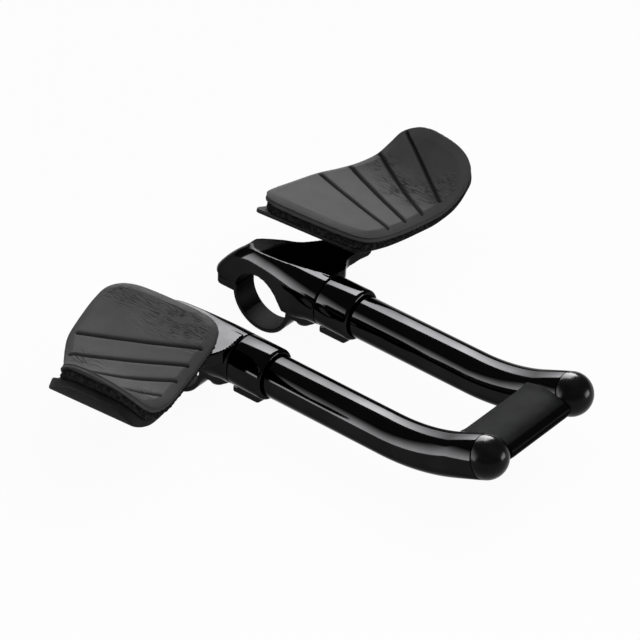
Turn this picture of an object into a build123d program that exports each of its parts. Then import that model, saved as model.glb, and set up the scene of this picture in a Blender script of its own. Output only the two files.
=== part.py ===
"""Clip-on aero handlebar extension with two armrests, in millimetres.

The origin is on the handlebar clamp axis, midway between the two clamps.
+X points forward along the extensions, +Y to the rider's left, +Z up.
"""

import os
from math import atan2, cos, degrees, radians, sin

from build123d import *

os.makedirs("parts", exist_ok=True)

# Handlebar clamp
bar_radius = 15.9
clamp_width = 13.6
strap_thickness = 2.1
split_z = 3.0
split_gap = 0.8
ear_thickness = 4.2
rear_recess = 3.0
front_ear_x = 31.0
rear_ear_x = -31.6
front_bolt_x = 23.0
rear_bolt_x = -24.0

# Extension tubes
tube_radius = 11.1
tube_wall = 1.7
tube_y = 33.5
tube_z = 15.0
bend_x = 129.9
bend_radius = 104.8
bend_angle = 23.2
tip_length = 16.4
tube_fit = 0.05

# Bracket
nose_x = -32.3
seam_x = 38.4
seam_width = 0.8
seam_depth = 0.9
neck_length = 3.0
collar_radius = 13.5
collar_front = 58.8
collar_lip = 1.9
socket_floor = 30.0
lug_half_width = 5.6
lug_bottom = -2.6
lug_rear = 36.4
lug_front = 52.0
set_screw_x = 43.0
set_screw_pitch = 6.6

# Arm that carries the armrest plate
arm_seat_top = 22.0
arm_bottom = 18.0
arm_end_thickness = 6.0
arm_end_radius = 12.6

# Flat top of body and arm: a point on its crest, its fall, and the way it falls
crest_x = 7.7
crest_y = 31.2
crest_z = 27.3
crest_fall = 12.0
crest_turn = 22.0

# Armrest placing: pivot on the arm, then the slide and yaw of each plate
pivot_x = 20.0
pivot_y = 75.0
left_slide = 1.3
right_slide = -1.3
plate_yaw = 4.2
armrest_bolt_pitch = 13.4
armrest_slide = 3.0
seat_margin = 5.0
seat_straight = 2.2
seat_room = 6.0

# Cradle section of the armrest: a wide inner arc and a tight outer arc
valley_q = 29.0
valley_z = 38.2
inner_arc = 167.0
outer_arc = 32.5
pad_thickness = 7.0
hook_thickness = 2.6
plate_thickness = 3.2
plate_front = 18.0
plate_corner = 4.0
pad_lip_angle = 66.0
hook_lip_angle = 57.0
plate_lip_angle = 50.0
hook_inset = 2.4
pad_bevel = 2.8
groove_width = 2.6
groove_depth = 1.3

# Fasteners
bolt_radius = 2.5
bolt_head_radius = 4.2
bolt_head_height = 3.6
hex_radius = 2.3
bolt_reach = 7.5

# Bridge between the tips
bridge_rear_x = 165.3
bridge_rear_z = 29.6
bridge_length = 28.8
bridge_rise = 4.1
bridge_nose_drop = 5.0
bridge_depth = 10.2


def tube_path(y: float) -> Wire:
    """Centre line of one extension: straight, upward bend, straight tip."""
    with BuildLine(Plane.XZ.offset(-y)) as path:
        straight = Line((socket_floor, tube_z), (bend_x, tube_z))
        bend = JernArc(straight @ 1, straight % 1, bend_radius, bend_angle)
        Line(bend @ 1, bend @ 1 + (bend % 1) * tip_length)
    return path.wire()


def tip_plane(y: float) -> Plane:
    """Plane of the tube's open end, with its normal along the tip."""
    path = tube_path(y)
    return Plane(origin=path @ 1, x_dir=(0, 1, 0), z_dir=path % 1)


def armrest_outline(inset: float) -> Sketch:
    """Plan outline of the armrest about its pivot, drawn in by inset."""
    inner_q = -24.5 + inset
    with BuildSketch() as outline:
        with BuildLine():
            rear = Spline(
                (-43.0 + inset, -13.0),
                (-42.6 + inset, 3.0),
                (-36.8 + inset, 25.0 - 0.4 * inset),
                (-26.5 + inset, 43.0 - 0.5 * inset),
                (-8.0 + inset, 67.0),
            )
            front = Spline(
                (33.0 - inset, 67.0),
                (31.4 - inset, 36.0),
                (27.6 - inset, 15.0),
                (23.0 - inset, -16.0),
            )
            Line(rear @ 1, front @ 0)
            Polyline(front @ 1, (21.5 - inset, inner_q), (-41.5 + inset, inner_q), rear @ 0)
        make_face()
        corners = outline.vertices().filter_by_position(Axis.Y, inner_q - 0.1, inner_q + 0.1)
        fillet(corners, radius=9.0 - inset)
    return outline.sketch


def cradle_section(top: float, bottom: float, lip: float) -> Sketch:
    """Cross-section of an armrest layer between two depths below the pad's top."""
    inner_centre = (valley_q, valley_z + inner_arc)
    outer_centre = (valley_q, valley_z + outer_arc)
    with BuildSketch() as section:
        with BuildLine():
            a = CenterArc(inner_centre, inner_arc + top, -111, 21)
            b = CenterArc(outer_centre, outer_arc + top, -90, lip)
            c = CenterArc(inner_centre, inner_arc + bottom, -111, 21)
            d = CenterArc(outer_centre, outer_arc + bottom, -90, lip)
            Line(a @ 0, c @ 0)
            Line(b @ 1, d @ 1)
        make_face()
    return section.sketch


def cradle_layer(top: float, bottom: float, lip: float, inset: float) -> Part:
    """Curved armrest layer cut to the pad's outline and lip."""
    with BuildPart() as layer:
        with BuildSketch(Plane.YZ):
            add(cradle_section(top, bottom, lip))
        extrude(amount=90, both=True)
        add(armrest_outline(inset))
        extrude(amount=120, mode=Mode.INTERSECT)
        with BuildSketch(Plane.XZ.offset(-valley_q - 6.0)):
            with BuildLine():
                lip_edge = Spline(
                    (-40.0 + inset, 44.0),
                    (-20.0 + inset, 48.0),
                    (-10.0 + inset, 54.5),
                    (2.0, 57.4 - inset),
                    (14.0 - inset, 56.4 - inset),
                    (25.5 - inset, 50.0 - inset),
                    (31.5 - inset, 41.0 - inset),
                    (33.5 - inset, 32.0 - inset),
                )
                Polyline(lip_edge @ 1, (60, 32), (60, 90), (-60, 90), (-60, 44), lip_edge @ 0)
            make_face()
        extrude(amount=-150, mode=Mode.SUBTRACT)
    return layer.part


def groove_tool() -> Part:
    """Four fanned grooves just under the top face of the pad."""
    grooves = (
        ((-35.0, 18.3), (21.8, -4.4)),
        ((-27.5, 33.8), (23.4, 8.4)),
        ((-18.5, 46.5), (25.5, 20.6)),
        ((-9.5, 56.8), (26.6, 34.8)),
    )
    with BuildPart() as tool:
        with BuildSketch():
            for start, end in grooves:
                run = Vector(*end) - Vector(*start)
                middle = (Vector(*start) + Vector(*end)) / 2
                with Locations((middle.X, middle.Y)):
                    SlotOverall(
                        run.length, groove_width, rotation=degrees(atan2(run.Y, run.X))
                    )
        extrude(amount=120)
        add(cradle_layer(-0.5, groove_depth, pad_lip_angle, 0), mode=Mode.INTERSECT)
    return tool.part


def cap_screw(grip: float) -> Part:
    """Socket head screw along +Z: the head's seat is at z = 0."""
    with BuildPart() as screw:
        Cylinder(bolt_head_radius, bolt_head_height, align=(Align.CENTER, Align.CENTER, Align.MAX))
        fillet(screw.edges().group_by(Axis.Z)[0], radius=0.6)
        Cylinder(bolt_radius, grip, align=(Align.CENTER, Align.CENTER, Align.MIN))
        with BuildSketch(Plane.XY.offset(-bolt_head_height)):
            RegularPolygon(hex_radius, 6)
        extrude(amount=2.6, mode=Mode.SUBTRACT)
    return screw.part


# Bracket body: lofted from a low round nose to the full collar width at the seam.
# Each station has its place, its half widths, its top and its share of corner rounding.
body_top = tube_z + collar_radius
body_bottom = tube_z - collar_radius
clamp_half = clamp_width / 2
flare = collar_radius - clamp_half
body_stations = (
    (nose_x, clamp_half - 3.6, clamp_half - 3.6, split_z + 2.8, 0.40),
    (nose_x + 3.0, clamp_half - 0.8, clamp_half - 0.8, body_top - 18.7, 0.33),
    (-24.5, clamp_half, clamp_half, body_top - 13.1, 0.235),
    (-17.0, clamp_half + 0.2, clamp_half + 0.2, body_top - 6.3, 0.27),
    (-8.0, clamp_half + 0.12 * flare, clamp_half + 0.12 * flare, body_top - 1.5, 0.30),
    (6.0, clamp_half + 0.33 * flare, clamp_half + 0.27 * flare, body_top, 0.34),
    (20.0, clamp_half + 0.66 * flare, clamp_half + 0.51 * flare, body_top, 0.39),
    (31.0, clamp_half + 0.925 * flare, clamp_half + 0.866 * flare, body_top, 0.445),
    (seam_x, collar_radius, collar_radius, body_top, 0.492),
)
with BuildPart() as body_form:
    for x, inner_half, outer_half, top_z, rounding in body_stations:
        width = inner_half + outer_half
        height = top_z - body_bottom
        with BuildSketch(Plane.YZ.offset(x)):
            with Locations((tube_y + (outer_half - inner_half) / 2, body_bottom)):
                RectangleRounded(
                    width, height, rounding * min(width, height), align=(Align.CENTER, Align.MIN)
                )
    loft()
    with BuildSketch(Plane.XY.offset(split_z)):
        Rectangle(200, 200)
    extrude(amount=-50, mode=Mode.SUBTRACT)

# Arm: plan sweep to the outside crossed with its own lower profile
arm_end_bottom = arm_seat_top - arm_end_thickness
with BuildPart() as arm_form:
    with BuildSketch(Plane.XY.offset(min(arm_bottom, arm_end_bottom))):
        with BuildLine():
            rear_edge = Spline(
                (-18.0, tube_y),
                (-15.5, tube_y + 8.5),
                (-10.8, tube_y + 13.6),
                (-5.8, tube_y + 17.6),
                (1.0, tube_y + 22.0),
                (5.0, tube_y + 29.0),
                (pivot_x - arm_end_radius, pivot_y),
                tangents=((0, 1), (0, 1)),
            )
            front_edge = Spline(
                (seam_x - 0.4, tube_y + 4.0),
                (seam_x - 1.0, tube_y + 12.6),
                (seam_x - 3.6, tube_y + 17.2),
                (seam_x - 6.8, tube_y + 22.0),
                (seam_x - 7.6, tube_y + 28.0),
                (pivot_x + arm_end_radius, pivot_y),
                tangents=((0, 1), (0, 1)),
            )
            ThreePointArc(
                rear_edge @ 1, (pivot_x, pivot_y + arm_end_radius), front_edge @ 1
            )
            Line(front_edge @ 0, rear_edge @ 0)
        make_face()
    extrude(amount=20)
    with BuildSketch(Plane.YZ):
        Polygon(
            (tube_y, arm_bottom + 30.0),
            (pivot_y + 20.0, arm_bottom + 30.0),
            (pivot_y + 20.0, arm_end_bottom),
            (pivot_y - 10.0, arm_end_bottom),
            (tube_y + 20.0, arm_bottom + 0.6),
            (tube_y, arm_bottom),
            align=None,
        )
    extrude(amount=120, both=True, mode=Mode.INTERSECT)
    with BuildSketch(Plane.XZ):
        Polygon((-30.0, 11.4), (-9.0, 29.3), (-9.0, 60.0), (-30.0, 60.0), align=None)
    extrude(amount=120, both=True, mode=Mode.SUBTRACT)

# The falling flat that trims the top of body and arm
fall_x, fall_y = -sin(radians(crest_turn)), cos(radians(crest_turn))
crest_plane = Plane(
    origin=(crest_x, crest_y, crest_z),
    x_dir=(fall_y, -fall_x, 0),
    z_dir=(
        fall_x * sin(radians(crest_fall)),
        fall_y * sin(radians(crest_fall)),
        cos(radians(crest_fall)),
    ),
)

# Collar around the tube: a rounded front lip, and a narrow neck behind it
with BuildPart() as collar_form:
    with BuildSketch(Plane.YZ.offset(seam_x + seam_width)):
        with Locations((tube_y, tube_z)):
            Circle(collar_radius)
    extrude(amount=collar_front - seam_x - seam_width)
    fillet(collar_form.edges().sort_by(Axis.X)[-1], radius=collar_lip)
    with BuildSketch(Plane.YZ.offset(seam_x - neck_length)):
        with Locations((tube_y, tube_z)):
            Circle(collar_radius - seam_depth)
    extrude(amount=2 * neck_length)

with BuildPart() as left_bracket:
    add(body_form.part)
    add(arm_form.part)
    with BuildSketch(crest_plane):
        Rectangle(400, 400)
    extrude(amount=-100, mode=Mode.INTERSECT)
    # Seat for the armrest plate at the end of the arm
    with BuildSketch(Plane.XY.offset(arm_end_bottom)):
        with Locations((pivot_x, pivot_y)):
            SlotCenterToCenter(seat_straight, 2 * arm_end_radius - 4.0)
    extrude(amount=arm_end_thickness)
    with BuildSketch(Plane.XY.offset(arm_seat_top)):
        with Locations((pivot_x, pivot_y)):
            SlotCenterToCenter(seat_straight + seat_room, 2 * arm_end_radius)
    extrude(amount=30, mode=Mode.SUBTRACT)
    add(collar_form.part)
    # Lug below the collar
    with BuildSketch(Plane.XZ.offset(-tube_y)):
        Polygon(
            (lug_rear, lug_bottom),
            (lug_front, lug_bottom),
            (collar_front - collar_lip, body_bottom + 1.0),
            (collar_front - collar_lip, tube_z),
            (seam_x + seam_width, tube_z),
            (seam_x + seam_width, body_bottom),
            (lug_rear, body_bottom),
            align=None,
        )
    extrude(amount=lug_half_width, both=True)
    # Blind socket for the tube and bore for the bar
    with BuildSketch(Plane.YZ.offset(socket_floor)):
        with Locations((tube_y, tube_z)):
            Circle(tube_radius + tube_fit)
    extrude(amount=60, mode=Mode.SUBTRACT)
    with BuildSketch(Plane.XZ):
        Circle(bar_radius)
    extrude(amount=120, both=True, mode=Mode.SUBTRACT)
    # Screw holes: clamp, set screws and armrest
    with Locations((front_bolt_x, tube_y, split_z), (rear_bolt_x, tube_y, split_z)):
        Cylinder(
            bolt_radius, bolt_reach, align=(Align.CENTER, Align.CENTER, Align.MIN), mode=Mode.SUBTRACT
        )
    with Locations(
        (set_screw_x, tube_y, lug_bottom), (set_screw_x + set_screw_pitch, tube_y, lug_bottom)
    ):
        Cylinder(
            bolt_radius, 9.0, align=(Align.CENTER, Align.CENTER, Align.MIN), mode=Mode.SUBTRACT
        )
    with Locations((pivot_x, pivot_y, arm_seat_top)):
        with GridLocations(armrest_bolt_pitch, 1, 2, 1):
            Cylinder(
                bolt_radius, 20.0, align=(Align.CENTER, Align.CENTER, Align.MAX), mode=Mode.SUBTRACT
            )

# Lower clamp strap with an ear at each end; the rear screw's head is sunk in its ear
ear_seat = split_z - split_gap - ear_thickness
with BuildPart() as left_clamp_cap:
    with BuildSketch(Plane.XZ.offset(-tube_y)):
        Circle(bar_radius + strap_thickness)
        with Locations(((front_ear_x + rear_ear_x) / 2, split_z - split_gap)):
            Rectangle(
                front_ear_x - rear_ear_x, ear_thickness, align=(Align.CENTER, Align.MAX)
            )
        with Locations((0, split_z - split_gap)):
            Rectangle(90, 40, align=(Align.CENTER, Align.MIN), mode=Mode.SUBTRACT)
        Circle(bar_radius, mode=Mode.SUBTRACT)
    extrude(amount=clamp_width / 2, both=True)
    ear_ends = left_clamp_cap.edges().filter_by(Axis.Z)
    fillet(ear_ends, radius=clamp_width / 2 - 1.0)
    with Locations((front_bolt_x, tube_y, 0), (rear_bolt_x, tube_y, 0)):
        Cylinder(bolt_radius + 0.2, 30, mode=Mode.SUBTRACT)
    with Locations((rear_bolt_x, tube_y, ear_seat + rear_recess)):
        Cylinder(
            bolt_head_radius + 0.2,
            30,
            align=(Align.CENTER, Align.CENTER, Align.MAX),
            mode=Mode.SUBTRACT,
        )

with BuildPart() as left_clamp_bolts:
    with Locations((front_bolt_x, tube_y, ear_seat)):
        add(cap_screw(ear_thickness + split_gap + bolt_reach))
    with Locations((rear_bolt_x, tube_y, ear_seat + rear_recess)):
        add(cap_screw(ear_thickness - rear_recess + split_gap + bolt_reach))

with BuildPart() as left_set_screws:
    with Locations(
        (set_screw_x, tube_y, lug_bottom + 0.4),
        (set_screw_x + set_screw_pitch, tube_y, lug_bottom + 0.4),
    ):
        Cylinder(
            bolt_radius,
            tube_z - tube_radius - lug_bottom - 0.4,
            align=(Align.CENTER, Align.CENTER, Align.MIN),
        )

with BuildPart() as left_extension:
    path = tube_path(tube_y)
    with BuildSketch(Plane(origin=path @ 0, x_dir=(0, 1, 0), z_dir=path % 0)):
        Circle(tube_radius)
        Circle(tube_radius - tube_wall, mode=Mode.SUBTRACT)
    sweep(path=path)

with BuildPart() as left_end_plug:
    with BuildSketch(tip_plane(tube_y)):
        Circle(tube_radius)
    extrude(amount=0.6)
    with BuildSketch(tip_plane(tube_y)):
        Circle(tube_radius - tube_wall - tube_fit)
    extrude(amount=-8.0)
    with Locations(tip_plane(tube_y).offset(0.6)):
        Sphere(tube_radius, arc_size1=0, align=(Align.CENTER, Align.CENTER, Align.MIN))

# Armrest plate with a flat boss down to the arm and two slots
seat_from_top = pad_thickness + hook_thickness
with BuildPart() as plate_form:
    with BuildSketch(Plane.YZ):
        add(cradle_section(seat_from_top, seat_from_top + plate_thickness, plate_lip_angle))
    extrude(amount=90, both=True)
    with BuildSketch() as plate_outline:
        Polygon(
            (-46.5, -25.5),
            (plate_front - 1.0, -25.5),
            (plate_front + 6.5, 20.0),
            (plate_front + 10.5, 46.0),
            (plate_front + 7.0, 80.0),
            (-14.5, 80.0),
            (-22.3, 50.0),
            align=None,
        )
        fillet(plate_outline.vertices(), radius=plate_corner)
    extrude(amount=120, mode=Mode.INTERSECT)

with BuildPart() as boss_form:
    with BuildSketch(Plane.XY.offset(arm_seat_top)):
        SlotOverall(armrest_bolt_pitch + 2 * seat_margin, 16.0)
    extrude(amount=30)
    add(cradle_layer(seat_from_top + 1.0, seat_from_top + 40.0, plate_lip_angle, 0), mode=Mode.INTERSECT)

with BuildPart() as armrest_plate:
    add(plate_form.part)
    add(boss_form.part)
    with BuildSketch(Plane.XY.offset(arm_seat_top)):
        with GridLocations(armrest_bolt_pitch, 1, 2, 1):
            SlotOverall(2 * bolt_radius + armrest_slide, 2 * bolt_radius + 1.8)
    extrude(amount=30, mode=Mode.SUBTRACT)
    with BuildSketch(Plane.XY.offset(arm_seat_top + 1.6)):
        with GridLocations(armrest_bolt_pitch, 1, 2, 1):
            SlotOverall(
                2 * bolt_head_radius + armrest_slide + 0.6, 2 * bolt_head_radius + 2.0
            )
    extrude(amount=30, mode=Mode.SUBTRACT)

with BuildPart() as hook_form:
    add(cradle_layer(pad_thickness, seat_from_top, hook_lip_angle, hook_inset))

with BuildPart() as pad_form:
    add(cradle_layer(0.0, pad_thickness, pad_lip_angle, 0.0))
    top_faces = [
        face
        for face in pad_form.faces().filter_by(GeomType.CYLINDER)
        if min(abs(face.radius - inner_arc), abs(face.radius - outer_arc)) < 0.01
    ]
    rim = [e for face in top_faces for e in face.edges() if e.center().Y < valley_q - 1.0]
    fillet(rim, radius=pad_bevel)
    add(groove_tool(), mode=Mode.SUBTRACT)

left_place = Location((pivot_x + left_slide, pivot_y, 0), (0, 0, plate_yaw))
right_place = Location((pivot_x + right_slide, -pivot_y, 0), (0, 0, plate_yaw))

with BuildPart() as left_armrest_plate:
    with Locations(left_place):
        add(armrest_plate.part)

with BuildPart() as left_hook_sheet:
    with Locations(left_place):
        add(hook_form.part)

with BuildPart() as left_pad:
    with Locations(left_place):
        add(pad_form.part)

# Low screws that hold the plate to the arm
with BuildPart() as left_armrest_bolts:
    with Locations((pivot_x, pivot_y, arm_seat_top + 1.6)):
        with GridLocations(armrest_bolt_pitch, 1, 2, 1):
            Cylinder(bolt_head_radius, 1.8, align=(Align.CENTER, Align.CENTER, Align.MIN))
            Cylinder(bolt_radius, 7.2, align=(Align.CENTER, Align.CENTER, Align.MAX))

# Bridge: one rounded section hollowed by both tubes
with BuildPart() as bridge:
    with BuildSketch(Plane.XZ.shift_origin((bridge_rear_x, 0, bridge_rear_z))):
        with BuildLine():
            top = Spline(
                (0, 0),
                (0.32 * bridge_length, 0.68 * bridge_rise),
                (0.59 * bridge_length, bridge_rise),
                (0.816 * bridge_length, 0.88 * bridge_rise),
                (bridge_length, -0.05 * bridge_rise),
                tangents=((1, 0.36), (0.25, -1)),
            )
            nose = TangentArc(
                top @ 1, (bridge_length - 3.0, -bridge_nose_drop), tangent=top % 1
            )
            Polyline(nose @ 1, (3.5, -bridge_depth), top @ 0)
        make_face()
    extrude(amount=tube_y, both=True)
    for side in (tube_y, -tube_y):
        path = tube_path(side)
        with BuildSketch(Plane(origin=path @ 0, x_dir=(0, 1, 0), z_dir=path % 0)):
            Circle(tube_radius + tube_fit)
        sweep(path=path, mode=Mode.SUBTRACT)
        with Locations(tip_plane(side)):
            Cylinder(
                tube_radius + tube_fit,
                40,
                align=(Align.CENTER, Align.CENTER, Align.MIN),
                mode=Mode.SUBTRACT,
            )

# Right-hand pieces are mirror images; only slide and yaw differ
with BuildPart() as right_bracket:
    mirror(left_bracket.part, about=Plane.XZ)
with BuildPart() as right_clamp_cap:
    mirror(left_clamp_cap.part, about=Plane.XZ)
with BuildPart() as right_clamp_bolts:
    mirror(left_clamp_bolts.part, about=Plane.XZ)
with BuildPart() as right_set_screws:
    mirror(left_set_screws.part, about=Plane.XZ)
with BuildPart() as right_extension:
    mirror(left_extension.part, about=Plane.XZ)
with BuildPart() as right_end_plug:
    mirror(left_end_plug.part, about=Plane.XZ)
with BuildPart() as right_armrest_bolts:
    mirror(left_armrest_bolts.part, about=Plane.XZ)

with BuildPart() as plate_mirror:
    mirror(armrest_plate.part, about=Plane.XZ)
with BuildPart() as hook_mirror:
    mirror(hook_form.part, about=Plane.XZ)
with BuildPart() as pad_mirror:
    mirror(pad_form.part, about=Plane.XZ)

with BuildPart() as right_armrest_plate:
    with Locations(right_place):
        add(plate_mirror.part)
with BuildPart() as right_hook_sheet:
    with Locations(right_place):
        add(hook_mirror.part)
with BuildPart() as right_pad:
    with Locations(right_place):
        add(pad_mirror.part)

pieces = {
    "left_bracket": left_bracket,
    "left_clamp_cap": left_clamp_cap,
    "left_clamp_bolts": left_clamp_bolts,
    "left_set_screws": left_set_screws,
    "left_extension": left_extension,
    "left_end_plug": left_end_plug,
    "left_armrest_plate": left_armrest_plate,
    "left_armrest_bolts": left_armrest_bolts,
    "left_hook_sheet": left_hook_sheet,
    "left_pad": left_pad,
    "bridge": bridge,
    "right_bracket": right_bracket,
    "right_clamp_cap": right_clamp_cap,
    "right_clamp_bolts": right_clamp_bolts,
    "right_set_screws": right_set_screws,
    "right_extension": right_extension,
    "right_end_plug": right_end_plug,
    "right_armrest_plate": right_armrest_plate,
    "right_armrest_bolts": right_armrest_bolts,
    "right_hook_sheet": right_hook_sheet,
    "right_pad": right_pad,
}
for name, piece in pieces.items():
    piece.part.label = name
    export_step(piece.part, f"parts/{name}.step")
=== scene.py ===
"""Dressed model of a clip-on aero handlebar extension.

Metres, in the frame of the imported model: the origin is on the handlebar clamp
axis, midway between the clamps, +X forward, +Y to the rider's left, +Z up.
"""

import logging
import math
from contextlib import contextmanager
from dataclasses import dataclass, field
from enum import Enum
from typing import Any, Callable, Iterator, Sequence

import bmesh
import bpy
import numpy as np
from mathutils import Matrix, Vector


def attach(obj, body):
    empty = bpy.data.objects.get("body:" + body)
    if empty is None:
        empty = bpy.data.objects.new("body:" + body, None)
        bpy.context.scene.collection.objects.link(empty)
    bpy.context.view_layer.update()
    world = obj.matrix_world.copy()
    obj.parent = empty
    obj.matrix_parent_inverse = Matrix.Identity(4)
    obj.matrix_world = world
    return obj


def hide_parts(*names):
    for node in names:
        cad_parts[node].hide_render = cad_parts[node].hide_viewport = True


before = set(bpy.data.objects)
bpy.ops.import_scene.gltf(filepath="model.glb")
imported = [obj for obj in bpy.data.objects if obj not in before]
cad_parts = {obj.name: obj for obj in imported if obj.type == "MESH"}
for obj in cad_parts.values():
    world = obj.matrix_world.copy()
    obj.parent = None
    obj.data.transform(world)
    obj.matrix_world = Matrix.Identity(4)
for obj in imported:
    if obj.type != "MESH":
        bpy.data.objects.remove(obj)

LOG = logging.getLogger("aero_extension")
MM = 0.001
ROOT = "root"

Point2 = tuple[float, float]
Point3 = tuple[float, float, float]


class Side(Enum):
    """Side of the rider: the value is the sign of Y."""

    LEFT = 1
    RIGHT = -1

    @property
    def word(self) -> str:
        """Lower-case name used in node and piece names."""
        return self.name.lower()


class Part(Enum):
    """Kind of mesh element to select."""

    VERT = "VERT"
    EDGE = "EDGE"
    FACE = "FACE"


class Slot(Enum):
    """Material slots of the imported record."""

    METAL = "black_metal"
    BRIDGE = "bridge_metal"
    STEEL = "bolt_steel"
    PLUG = "plug_plastic"
    PLATE = "plate_plastic"
    HOOK = "hook_fabric"
    FOAM = "pad_foam"


# Modelling tools


def deselect() -> None:
    """Leave edit mode and deselect every object."""
    active = bpy.context.view_layer.objects.active
    if active is not None and active.mode != "OBJECT":
        bpy.ops.object.mode_set(mode="OBJECT")
    bpy.ops.object.select_all(action="DESELECT")


def pick(obj: bpy.types.Object) -> None:
    """Make one object the only selected and active one.

    Args:
        obj: object to select.
    """
    deselect()
    obj.select_set(True)
    bpy.context.view_layer.objects.active = obj


@contextmanager
def editing(obj: bpy.types.Object, kind: Part = Part.VERT) -> Iterator[None]:
    """Edit one object's mesh with everything selected.

    Args:
        obj: mesh object to edit.
        kind: element that the selection works on.
    """
    pick(obj)
    bpy.ops.object.mode_set(mode="EDIT")
    bpy.ops.mesh.select_mode(type=kind.value)
    bpy.ops.mesh.select_all(action="SELECT")
    yield
    bpy.ops.object.mode_set(mode="OBJECT")


def select_where(obj: bpy.types.Object, kind: Part, test: Callable[[Vector], bool]) -> None:
    """Select the elements whose middle passes a test, in edit mode.

    Args:
        obj: mesh object in edit mode.
        kind: element to test.
        test: takes the middle of an element in metres.
    """
    bpy.ops.mesh.select_mode(type=kind.value)
    bpy.ops.mesh.select_all(action="DESELECT")
    bm = bmesh.from_edit_mesh(obj.data)
    if kind is Part.VERT:
        for vert in bm.verts:
            vert.select_set(test(vert.co))
    elif kind is Part.EDGE:
        for edge in bm.edges:
            edge.select_set(test((edge.verts[0].co + edge.verts[1].co) / 2))
    else:
        for face in bm.faces:
            face.select_set(test(face.calc_center_median()))
    bm.select_flush_mode()
    bmesh.update_edit_mesh(obj.data)


def extrude(step: Sequence[float]) -> None:
    """Extrude the selection by a step in metres, in edit mode."""
    bpy.ops.mesh.extrude_region_move(TRANSFORM_OT_translate={"value": tuple(step)})


def apply_modifier(obj: bpy.types.Object, kind: str, **settings: Any) -> None:
    """Add a modifier with its settings and apply it.

    Args:
        obj: object to change.
        kind: modifier type.
        **settings: attributes of the modifier.
    """
    pick(obj)
    modifier = obj.modifiers.new(kind.lower(), kind)
    for key, value in settings.items():
        setattr(modifier, key, value)
    bpy.ops.object.modifier_apply(modifier=modifier.name)


def combine(obj: bpy.types.Object, tool: bpy.types.Object, operation: str) -> None:
    """Join or cut one solid with another, which is used up.

    Args:
        obj: solid that stays.
        tool: solid that is removed afterwards.
        operation: UNION, DIFFERENCE or INTERSECT.
    """
    apply_modifier(obj, "BOOLEAN", operation=operation, solver="EXACT", object=tool)
    bpy.data.objects.remove(tool, do_unlink=True)


def settle(obj: bpy.types.Object) -> None:
    """Merge doubled points and turn all faces outwards.

    Args:
        obj: mesh object to clean.
    """
    with editing(obj):
        bpy.ops.mesh.remove_doubles(threshold=1e-6)
        bpy.ops.mesh.normals_make_consistent(inside=False)


def freeze(obj: bpy.types.Object) -> None:
    """Move the object's place and turn into its mesh."""
    pick(obj)
    bpy.ops.object.transform_apply(location=True, rotation=True, scale=True)


def smooth(obj: bpy.types.Object, degrees: float = 38.0) -> None:
    """Shade smooth, with edges sharper than an angle left crisp."""
    pick(obj)
    bpy.ops.object.shade_smooth_by_angle(angle=math.radians(degrees))


def soften(obj: bpy.types.Object, width: float, segments: int = 2, degrees: float = 38.0) -> None:
    """Bevel every edge sharper than an angle.

    Args:
        obj: mesh object to change.
        width: width of the bevel in mm.
        segments: steps across the bevel.
        degrees: angle that an edge has to pass.
    """
    apply_modifier(
        obj,
        "BEVEL",
        width=width * MM,
        segments=segments,
        limit_method="ANGLE",
        angle_limit=math.radians(degrees),
        use_clamp_overlap=True,
    )


def coords(obj: bpy.types.Object) -> np.ndarray:
    """Read the points of a mesh.

    Args:
        obj: mesh object to read.

    Returns:
        Points in mm, one row each.
    """
    flat = np.empty(len(obj.data.vertices) * 3)
    obj.data.vertices.foreach_get("co", flat)
    return flat.reshape(-1, 3) / MM


def set_coords(obj: bpy.types.Object, points: np.ndarray) -> None:
    """Write the points of a mesh from millimetres."""
    obj.data.vertices.foreach_set("co", (points * MM).ravel())
    obj.data.update()


def copied(obj: bpy.types.Object, name: str, matrix: Matrix) -> bpy.types.Object:
    """Copy a piece with its own mesh and place the copy.

    Args:
        obj: piece to copy.
        name: name of the copy.
        matrix: place of the copy, a mirror image included.

    Returns:
        The copy, with faces that point outwards.
    """
    mesh = obj.data.copy()
    mesh.transform(matrix)
    if matrix.determinant() < 0:
        mesh.flip_normals()
    twin = bpy.data.objects.new(name, mesh)
    bpy.context.collection.objects.link(twin)
    return twin


def spline(points: Sequence[Sequence[float]], per_span: int, closed: bool) -> np.ndarray:
    """Smooth curve through points, by the Catmull-Rom formula.

    Args:
        points: points that the curve passes.
        per_span: samples between two points.
        closed: whether the curve returns to its start.

    Returns:
        Samples, one row each.
    """
    knots = np.asarray(points, dtype=float)
    count = len(knots)
    spans = count if closed else count - 1
    rows = []
    for i in range(spans):
        if closed:
            a, b, c, d = (knots[(i + k) % count] for k in (-1, 0, 1, 2))
        else:
            b, c = knots[i], knots[i + 1]
            a = knots[i - 1] if i > 0 else 2 * b - c
            d = knots[i + 2] if i + 2 < count else 2 * c - b
        t1 = max(np.linalg.norm(b - a), 1e-9) ** 0.5
        t2 = t1 + max(np.linalg.norm(c - b), 1e-9) ** 0.5
        t3 = t2 + max(np.linalg.norm(d - c), 1e-9) ** 0.5
        for t in np.linspace(t1, t2, per_span, endpoint=False):
            ab = a + (b - a) * t / t1
            bc = b + (c - b) * (t - t1) / (t2 - t1)
            cd = c + (d - c) * (t - t2) / (t3 - t2)
            abc = ab + (bc - ab) * t / t2
            bcd = bc + (cd - bc) * (t - t1) / (t3 - t1)
            rows.append(abc + (bcd - abc) * (t - t1) / (t2 - t1))
    if not closed:
        rows.append(knots[-1])
    return np.array(rows)


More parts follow.
